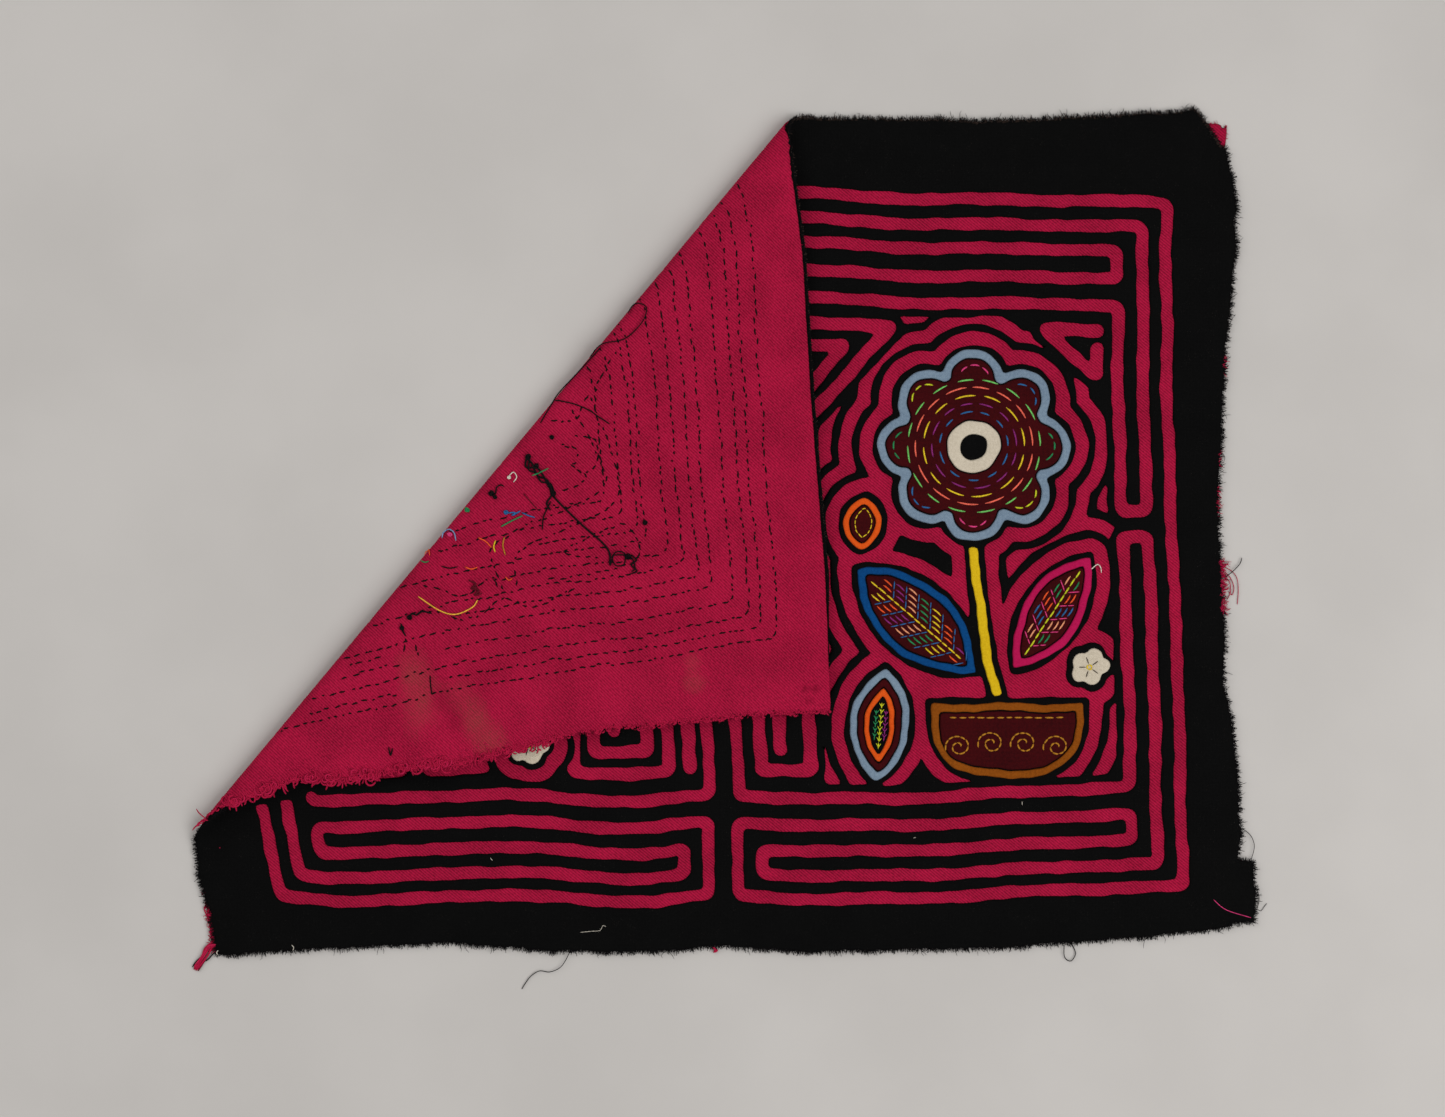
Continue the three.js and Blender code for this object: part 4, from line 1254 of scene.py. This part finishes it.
# The flap's lower edge is frayed into thicker tufts here: places on the flap.
TUFTS = np.array([
    (-203, -114), (-189, -109), (-171, -101), (-163, -104), (-152, -103), (-147, -102), (-134, -100),
    (-124, -100), (-117, -98),
], float)
TUFT_HALF = 2.0
# The backing peeps out at the right edge in one tuft and some slivers: middle, half length.
RIGHT_TUFT = (-22, 11)
SLIVERS = ((70, 4), (30, 4), (13, 6))
# How far aside of its place a fibre may start, how deep it is rooted, and its least height over the floor.
PICK_SPREAD = 0.6
ROOT = 0.7
FLOOR_GAP = 0.4
black_fray, red_fray = [], []


def edge_picks(loop, keep, per_mm):
    """Random places on the kept part of a cut edge, with the directions out of it and along it."""
    out = -left_of(loop)
    length = np.linalg.norm(np.roll(loop, -1, 0) - loop, axis=1)[keep].sum()
    pick = rng.choice(np.flatnonzero(keep), max(1, int(length * per_mm)))
    side = left_turn(out[pick])
    return loop[pick] + side * rng.uniform(-PICK_SPREAD, PICK_SPREAD, (len(pick), 1)), out[pick], side


def above_floor(paths):
    return np.maximum(paths, (-np.inf, -np.inf, FLOOR_GAP * MM))


def fray(groups, loop, keep, colour, per_mm, length, curl, radius, low, high, points=4):
    """Loose fibres that stand out from a cut edge."""
    base, out, side = edge_picks(loop, keep, per_mm)
    n = len(base)
    grow = np.linspace(0, 1, points)[None, :, None]
    far = rng.uniform(*length, (n, 1, 1))
    bow = rng.normal(0, curl, (n, 1, 1)) * far
    twist = np.cumsum(rng.normal(0, curl * 0.45, (n, points, 2)), 1) * far * grow
    uv = base[:, None] + out[:, None] * (far * grow - ROOT) + side[:, None] * bow * grow**1.5 + twist
    w = rng.uniform(low, high, (n, 1)) + rng.normal(0, 0.25, (n, 1)) * grow[..., 0]
    groups.append((above_floor(lay(uv, w)), radius, 3, THREADS[colour]))


def curls(groups, loop, keep, colour, per_mm, length, inside, radius, lift, points=8, turn=(2.2, 6.0)):
    """Curled ends of weft, pulled out of the weave up to some way inside a cut edge."""
    base, out, side = edge_picks(loop, keep, per_mm)
    n = len(base)
    base = base - out * rng.uniform(*inside, (n, 1))
    t = np.linspace(0, 1, points)
    heading = rng.normal(0, 0.6, (n, 1)) + rng.choice((-1, 1), (n, 1)) * rng.uniform(*turn, (n, 1)) * t
    step = rng.uniform(*length, (n, 1, 1)) / points
    walk = np.cos(heading)[..., None] * out[:, None] + np.sin(heading)[..., None] * side[:, None]
    uv = base[:, None] + np.cumsum(step * walk, 1)
    root = rng.uniform(BACKING_LOW, BACKING_HIGH - 0.2, (n, 1))
    w = root - lift * rng.uniform(0.4, 1.2, (n, 1)) * np.sin(math.pi * t)
    groups.append((above_floor(lay(uv, w)), radius, 4, THREADS[colour]))


# Stretches of the top cloth's edge
top_u, top_v = TOP_LOOP.T
flat_edge = past_bend(TOP_LOOP) <= BEND_LENGTH
far_edge = flat_edge & (top_v > 160)
flap_rim = ~flat_edge & (top_u > -172) & (top_v > 150)
right_edge = flat_edge & (top_u > 200)
tuft = right_edge & (np.abs(top_v - RIGHT_TUFT[0]) < RIGHT_TUFT[1])

# Fibres along it: stretch, colour, how many to a millimetre, length, curl, thickness, lowest, highest, points.
for row in (
    (flat_edge & ~tuft, "black", 4.6, (0.7, 2.4), 0.24, 0.28, TOP_LOW, TOP_HIGH - 0.3, 2),
    (flat_edge & ~tuft, "black", 4.0, (0.6, 2.0), 0.32, 0.17, TOP_LOW, TOP_HIGH - 0.3, 3),
    (flat_edge, "black", 0.5, (1.2, 2.8), 0.5, 0.13, TOP_LOW, TOP_HIGH - 0.3, 5),
    # The brown fibres along the far edge are painted highlight: black fuzz where it catches the light.
    (far_edge, "brown", 2.4, (0.7, 1.9), 0.5, 0.12, TOP_LOW + 0.4, TOP_HIGH),
    (flap_rim, "brown", 2.6, (0.2, 0.9), 0.6, 0.14, TOP_LOW, TOP_HIGH - 0.4),
    (flap_rim, "black", 3.0, (0.3, 0.9), 0.6, 0.14, TOP_LOW, TOP_HIGH - 0.2),
):
    fray(black_fray, TOP_LOOP, *row)

# Stretches of the backing's edge
back_u, back_v = BACKING_LOOP.T
back_flap = past_bend(BACKING_LOOP) > 0
lower_edge = (past_bend(BACKING_LOOP) > 0.4 * BEND_LENGTH) & (left_of(BACKING_LOOP)[:, 0] > 0.6)
loose_edge = lower_edge & on_flap(BACKING_LOOP) & (back_v < 40)
tufted = lower_edge & (np.abs(back_v[:, None] - unfold(TUFTS)[:, 1]).min(1) < TUFT_HALF)
corner = (back_u > 200) & (back_v > 160)
low_left = (back_u < -209.5) & (back_v < -146)

# Curls along it: stretch, colour, how many to a millimetre, length, depth, thickness, lift, points, turn.
for row in (
    (lower_edge, "magenta", 2.6, (1.3, 2.8), (-0.3, 0.6), 0.3, 0.4),
    (loose_edge, "magenta", 1.1, (3.0, 6.4), (-0.4, 0.8), 0.32, 0.7, 10),
    (loose_edge, "magenta", 1.6, (2.2, 4.8), (-0.2, 0.6), 0.34, 0.3, 8, (0.3, 2.4)),
    (tufted, "magenta", 2.0, (5.0, 9.0), (-1.2, 0.8), 0.42, 1.0, 12, (3.0, 7.5)),
    # Rows of the lighter magenta thread are painted highlight on the curls.
    (tufted, "rose", 1.2, (4.0, 8.0), (-1.0, 1.0), 0.36, 1.3, 12, (3.0, 7.5)),
    # This row of the darker magenta thread is painted shade between the curls.
    (lower_edge, "wine", 0.9, (1.0, 2.6), (-0.2, 1.4), 0.24, 0.2, 6, (0.6, 4.0)),
    (lower_edge, "rose", 0.8, (1.0, 2.2), (0.4, 2.6), 0.2, 0.3, 6, (0.6, 4.0)),
    (loose_edge, "rose", 1.0, (1.2, 3.0), (1.0, 6.0), 0.2, 0.4, 6, (0.6, 4.0)),
):
    curls(red_fray, BACKING_LOOP, *row)

# Fibres of the backing, along its own edge and out from under the top cloth's.
for loop, *row in (
    (BACKING_LOOP, back_flap & ~lower_edge, "magenta", 0.8, (0.2, 0.8), 0.5, 0.1, BACKING_LOW, BACKING_HIGH),
    (BACKING_LOOP, corner, "magenta", 3.0, (0.3, 1.1), 0.4, 0.13, BACKING_LOW, BACKING_HIGH),
    (TOP_LOOP, tuft, "magenta", 6.0, (1.6, 3.0), 0.4, 0.2, BACKING_LOW + 0.2, TOP_LOW),
    # The lighter magenta fibres are painted highlight on the tuft.
    (TOP_LOOP, tuft, "rose", 1.6, (1.0, 2.4), 0.7, 0.15, TOP_HIGH - 0.5, TOP_HIGH),
    *(
        (
            TOP_LOOP, right_edge & (np.abs(top_v - middle) < half),
            "magenta", 3.0, (0.9, 1.9), 0.5, 0.15, TOP_LOW, TOP_HIGH - 0.1, 3,
        )
        for middle, half in SLIVERS
    ),
    (BACKING_LOOP, low_left, "magenta", 3.0, (0.4, 1.5), 0.7, 0.2, BACKING_LOW, BACKING_HIGH, 5),
):
    fray(red_fray, loop, *row)
top_fray = thread_object("top_cloth_fray", black_fray)
backing_fray = thread_object("backing_fray", red_fray)

# Loose threads on the folded back: colour, thickness, lift, places on the flap.
FLAP_THREADS = (
    ("black", 0.26, 0.9, (
        (-55.2, 72.5), (-49.3, 77.7), (-40.4, 80.7), (-33.7, 87.4), (-32.2, 93.3), (-36.6, 94.8),
        (-38.9, 90.3),
    )),
    ("black", 0.3, 0.7, ((-69.6, 54.6), (-63.0, 53.5), (-56.1, 50.8), (-52.0, 48.0), (-47.2, 44.9))),
    ("black", 0.26, 0.3, (
        (-50.6, 76.4), (-55.8, 70.6), (-63.0, 63.6), (-68.6, 57.4), (-70.9, 53.4), (-75.6, 45.0),
    )),
    ("black", 0.44, 0.8, (
        (-81.3, 32.3), (-82.0, 27.1), (-76.8, 26.3), (-72.4, 18.9), (-70.1, 14.4), (-59.7, 4.0),
        (-48.5, -6.4), (-47.1, -13.8),
    )),
    ("black", 0.44, 0.9, (
        (-82.4, 31.0), (-79.6, 28.9), (-77.2, 23.7), (-73.0, 21.5), (-71.2, 16.0), (-73.4, 12.2),
        (-71.8, 9.1),
    )),
    ("black", 0.4, 1.1, (
        (-80.4, 30.2), (-80.8, 26.0), (-78.0, 24.6), (-75.6, 21.0), (-72.0, 20.4), (-70.4, 17.2),
    )),
    ("green", 0.3, 1.6, ((-79.6, 23.5), (-76.9, 24.5), (-72.7, 26.6))),
    ("maroon", 0.22, 0.3, ((-83.1, 16.2), (-80.7, 13.5), (-76.9, 9.0))),
    ("black", 0.3, 0.4, ((-138.9, -88.8), (-138.2, -92.4), (-137.2, -89.4))),
    ("black", 0.3, 0.6, ((-71.6, 12.9), (-74.6, 6.8), (-75.3, 1.0))),
    ("black", 0.3, 0.9, (
        (-47.1, -13.8), (-45.2, -8.4), (-41.2, -8.6), (-41.4, -13.2), (-45.0, -13.6), (-46.0, -9.6),
        (-39.0, -10.0), (-36.8, -14.6), (-38.4, -16.4),
    )),
    ("black", 0.36, 0.8, ((-38.4, -9.2), (-36.2, -11.6), (-38.6, -13.2), (-36.0, -16.0), (-38.8, -17.2))),
    ("black", 0.32, 0.5, ((-97.6, 16.5), (-94.8, 15.9), (-94.2, 18.6), (-92.4, 19.7), (-91.0, 19.0))),
    ("white", 0.24, 0.5, ((-89.0, 23.4), (-87.2, 25.0), (-85.8, 23.0), (-87.2, 20.8))),
    ("green", 0.34, 0.4, ((-106.6, 9.8), (-105.2, 9.4), (-105.4, 8.2))),
    ("blue", 0.34, 0.5, ((-90.7, 7.9), (-86.5, 8.3), (-87.9, 6.9), (-84.2, 9.0))),
    ("blue", 0.3, 0.4, ((-83.8, 8.3), (-81.0, 7.0), (-78.3, 6.2))),
    ("green", 0.32, 0.4, ((-92.4, 2.4), (-88.0, 4.8), (-83.5, 6.9))),
    ("sky", 0.28, 0.6, ((-116.3, -2.6), (-114.8, 0.8), (-112.0, 0.4), (-111.0, -3.4))),
    ("orange", 0.32, 0.3, ((-101.8, -2.1), (-98.6, -3.8), (-96.3, -6.3))),
    ("ochre", 0.3, 0.3, ((-91.0, -1.9), (-91.6, -5.4), (-90.6, -9.4))),
    ("yellow", 0.3, 0.3, ((-94.6, -3.2), (-95.4, -6.0), (-94.8, -8.2))),
    ("orange", 0.32, 0.3, ((-107.3, -14.2), (-104.8, -15.2), (-102.1, -14.4))),
    ("orange", 0.32, 0.3, ((-90.6, -18.4), (-89.2, -19.8), (-87.8, -19.0))),
    ("black", 0.3, 0.3, ((-117.0, -14.0), (-113.6, -14.8), (-110.3, -14.2))),
    ("black", 0.42, 0.5, ((-130.6, -36.0), (-129.2, -33.6), (-127.3, -34.2), (-125.0, -32.7), (-121.0, -33.5))),
    ("black", 0.4, 0.3, ((-133.8, -37.6), (-133.2, -40.4), (-131.8, -43.0))),
    ("black", 0.3, 0.2, ((-121.8, -59.2), (-121.6, -63.0), (-121.1, -67.2))),
    ("maroon", 0.4, 0.7, (
        (-105.8, -19.8), (-102.8, -21.2), (-104.8, -23.4), (-101.4, -23.8), (-103.4, -26.0),
        (-100.4, -25.2),
    )),
    ("amber", 0.3, 0.6, ((-126.7, -26.5), (-117.7, -32.4), (-111.0, -33.9), (-104.3, -31.0), (-102.1, -28.0))),
    ("orange", 0.26, 0.4, ((-124.0, -9.0), (-122.0, -7.0), (-121.4, -9.8))),
    ("green", 0.28, 0.3, ((-125.4, -11.6), (-123.6, -12.6), (-122.0, -12.0))),
)
# Loose threads along the edges and on the black cloth: colour, thickness, height at either end, places.
EDGE_THREADS = (
    ("pink", 0.17, (2.3, 2.4), ((203.7, -152.7), (207.1, -155.8), (210.8, -157.7), (219.2, -160.2))),
    ("black", 0.18, (1.4, 0.3), (
        (-63.6, -173.4), (-66.2, -178.6), (-68.6, -181.4), (-72.6, -183.0), (-76.2, -182.5), (-78.6, -183.4),
        (-81.0, -185.4), (-83.0, -188.2), (-84.2, -190.2),
    )),
    ("white", 0.1, (2.4, 2.4), (
        (-59.8, -166.3), (-55.5, -165.9), (-51.5, -165.5), (-50.5, -163.5), (-49.1, -163.9),
    )),
    ("black", 0.2, (1.4, 0.4), (
        (141.6, -171.0), (141.8, -176.6), (144.4, -178.4), (146.4, -175.4), (145.0, -171.4),
    )),
    ("black", 0.15, (1.4, 1.2), (
        (213.6, -122.6), (215.6, -123.2), (219.2, -126.0), (220.8, -130.6), (219.4, -136.6),
    )),
    ("black", 0.14, (1.4, 0.3), ((220.0, -145.6), (221.6, -148.2), (222.9, -152.2), (222.1, -156.8))),
    ("black", 0.12, (0.3, 0.3), ((222.1, -156.8), (223.7, -157.6), (225.0, -155.8), (226.2, -154.4))),
    ("magenta", 0.17, (1.0, 0.4), (
        (208.4, -14.4), (211.4, -16.0), (213.6, -19.0), (214.2, -24.0), (213.8, -30.0),
    )),
    ("magenta", 0.18, (1.0, 0.4), (
        (208.6, -16.4), (211.0, -19.0), (212.4, -23.0), (211.6, -26.0), (210.0, -24.4),
    )),
    # A lighter magenta thread: painted highlight.
    ("rose", 0.17, (0.9, 0.4), ((208.0, -18.0), (210.6, -20.6), (211.0, -24.6), (209.6, -28.0))),
    ("black", 0.2, (1.4, 0.8), ((208.6, -18.6), (212.0, -16.0), (214.8, -13.0), (215.7, -10.4))),
    ("magenta", 0.5, (1.2, 0.7), (
        (-210.8, -171.0), (-213.3, -170.9), (-216.0, -173.2), (-217.1, -176.0), (-219.2, -179.4),
        (-220.7, -182.0),
    )),
    ("magenta", 0.46, (1.0, 0.7), (
        (-210.6, -172.0), (-213.0, -172.6), (-214.6, -175.6), (-217.0, -178.8), (-219.9, -182.4),
    )),
    # A lighter magenta thread: painted highlight.
    ("rose", 0.4, (1.6, 1.0), (
        (-211.0, -171.4), (-214.4, -172.0), (-216.2, -174.8), (-218.4, -177.9), (-220.6, -180.8),
    )),
    # A darker magenta thread: painted shade among the others.
    ("wine", 0.34, (0.9, 0.6), ((-210.9, -172.6), (-214.0, -174.6), (-216.4, -178.6), (-219.0, -182.6))),
    ("black", 0.28, (1.0, 0.5), ((-210.0, -173.0), (-212.6, -175.4), (-214.6, -177.6), (-216.0, -178.6))),
    ("black", 0.24, (0.8, 0.5), ((-217.6, -176.6), (-219.8, -178.6), (-221.4, -181.0))),
    ("magenta", 0.55, (1.1, 0.8), (
        (-210.8, -171.6), (-213.6, -172.2), (-215.6, -174.8), (-217.6, -178.0), (-220.2, -181.9),
    )),
    ("white", 0.2, (2.6, 1.7), ((-210.4, -173.8), (-211.1, -174.8), (-210.6, -175.8))),
    ("white", 0.18, (2.6, 1.7), ((-179.8, -171.6), (-179.0, -172.6), (-179.4, -174.0))),
    ("magenta", 0.28, (1.0, 0.5), ((-213.0, -154.0), (-216.4, -156.0), (-215.4, -159.6))),
    ("magenta", 0.26, (7.4, 5.6), ((-214.8, -118.6), (-216.4, -117.6), (-218.0, -116.2), (-219.1, -114.7))),
    ("magenta", 0.36, (7.4, 5.0), ((-214.0, -119.4), (-216.0, -119.2), (-217.6, -120.2))),
    ("magenta", 0.36, (6.4, 4.2), ((-215.4, -119.8), (-217.4, -120.2), (-219.0, -121.4))),
    # A lighter magenta thread: painted highlight.
    ("rose", 0.32, (5.6, 3.8), ((-216.6, -120.6), (-218.6, -121.4), (-219.8, -122.6))),
    ("magenta", 0.3, (5.0, 3.6), ((-217.6, -121.6), (-219.6, -122.2), (-220.9, -123.8))),
    ("magenta", 0.24, (2.5, 2.5), ((-209.9, -131.0), (-209.5, -131.3))),
    ("magenta", 0.5, (1.4, 0.8), (
        (-4.8, -172.6), (-3.4, -173.6), (-4.2, -174.6), (-2.9, -174.0), (-3.6, -173.0),
    )),
    ("white", 0.13, (2.4, 2.4), ((-97.2, -135.3), (-96.3, -136.4))),
    ("white", 0.12, (2.4, 2.4), ((124.0, -111.8), (124.1, -113.4))),
    ("white", 0.11, (2.4, 2.4), ((78.8, -127.1), (79.8, -126.8))),
    ("white", 0.24, (2.4, 2.4), ((152.5, -15.5), (155.5, -13.2), (156.8, -14.8), (157.0, -16.8))),
)
# Knots in the loose threads on the folded back: colour, size, place on the flap.
KNOTS = (
    ("black", 1.0, (-81.0, 31.4)), ("black", 0.9, (-77.6, 27.6)), ("black", 1.1, (-70.7, 16.2)),
    ("black", 0.8, (-72.2, 19.4)), ("black", 1.1, (-96.3, 16.2)), ("black", 0.7, (-94.8, 14.6)),
    ("black", 1.2, (-39.6, -10.0)), ("black", 0.9, (-32.7, 4.1)), ("black", 0.8, (-71.3, 39.4)),
    ("green", 0.8, (-105.9, 9.0)), ("blue", 0.8, (-90.3, 8.3)), ("white", 0.6, (-89.0, 22.8)),
    ("pink", 0.7, (-113.2, -1.0)), ("maroon", 0.9, (-103.2, -22.8)), ("black", 1.0, (-130.2, -35.2)),
    ("black", 0.8, (-133.4, -39.6)),
)
# A knot is one thread wound round in two ways at once: the angle that each turns through.
KNOT_WIND = 21
KNOT_TILT = 13
KNOT_THREAD = 0.3
LOOSE_STEP = 0.9
loose_groups = []


def loose_thread(path, radius, colour):
    loose_groups.append((path[None], radius, 5, THREADS[colour]))


for colour, size, spot in KNOTS:
    t = np.linspace(0, 1, 30)
    wind, tilt = KNOT_WIND * t + rng.uniform(0, 6), KNOT_TILT * t
    ball = size * directions(wind) * np.cos(tilt)[:, None]
    height = BACKING_LOW - 0.4 - 0.5 * size * (1 + np.sin(tilt))
    loose_thread(lay(unfold(np.array(spot) + ball), height), KNOT_THREAD, colour)
for colour, radius, lift, spots in FLAP_THREADS:
    line = smooth_line(spots, LOOSE_STEP)
    rise = lift * np.abs(np.sin(np.linspace(0.5, 0.5 + 2.2 * math.pi, len(line)))) ** 2
    loose_thread(lay(unfold(line), BACKING_LOW - 0.7 * radius - rise), radius, colour)
for colour, radius, heights, spots in EDGE_THREADS:
    line = smooth_line(spots, LOOSE_STEP)
    loose_thread(np.column_stack([line, np.linspace(*heights, len(line))]) * MM, radius, colour)
loose_threads = thread_object("loose_threads", loose_groups)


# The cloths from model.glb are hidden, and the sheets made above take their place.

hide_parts("backing_cloth")
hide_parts("top_cloth")


# Floor, camera and light

VIEW_CENTRE = (-0.0006, -0.0108)
VIEW_WIDTH = 0.602
CAMERA_HEIGHT = 1.6
SENSOR = 36.0
FLOOR_SIZE = 6.0


def pale_floor():
    bpy.ops.mesh.primitive_plane_add(size=FLOOR_SIZE, location=(0, 0, 0))
    floor = bpy.context.object
    floor.name = "floor"
    material, paint = new_finish("pale_floor", 0.9)
    place = paint.node("ShaderNodeTexCoord", {}, {}, "Object")
    cloudy = paint.noise(place, 9.0, 5.0)
    feed(material, "Base Color", cloudy.between(0.3, 0.7).mix(srgb(184, 180, 176), srgb(190, 186, 182)))
    floor.data.materials.append(material)


def area_light(name, place, size, power):
    """A soft light that shines at the middle of the panel."""
    light = bpy.data.lights.new(name, "AREA")
    light.size = size
    light.energy = power
    obj = bpy.data.objects.new(name, light)
    obj.location = place
    obj.rotation_euler = (-Vector(place)).to_track_quat("-Z", "Y").to_euler()
    bpy.context.scene.collection.objects.link(obj)


bpy.ops.object.select_all(action="DESELECT")
pale_floor()
camera = bpy.data.cameras.new("camera")
camera.sensor_width = SENSOR
camera.lens = SENSOR * CAMERA_HEIGHT / VIEW_WIDTH
camera_object = bpy.data.objects.new("camera", camera)
camera_object.location = (*VIEW_CENTRE, CAMERA_HEIGHT)
bpy.context.scene.collection.objects.link(camera_object)
bpy.context.scene.camera = camera_object
area_light("key", (0.95, -0.45, 1.4), 1.4, 22)
area_light("fill", (-1.1, 0.6, 1.1), 1.6, 12)
world = bpy.data.worlds.new("studio")
world.use_nodes = True
background = world.node_tree.nodes["Background"].inputs
background["Color"].default_value = (1, 1, 1, 1)
background["Strength"].default_value = 0.35
bpy.context.scene.world = world
bpy.context.scene.view_settings.view_transform = "Standard"
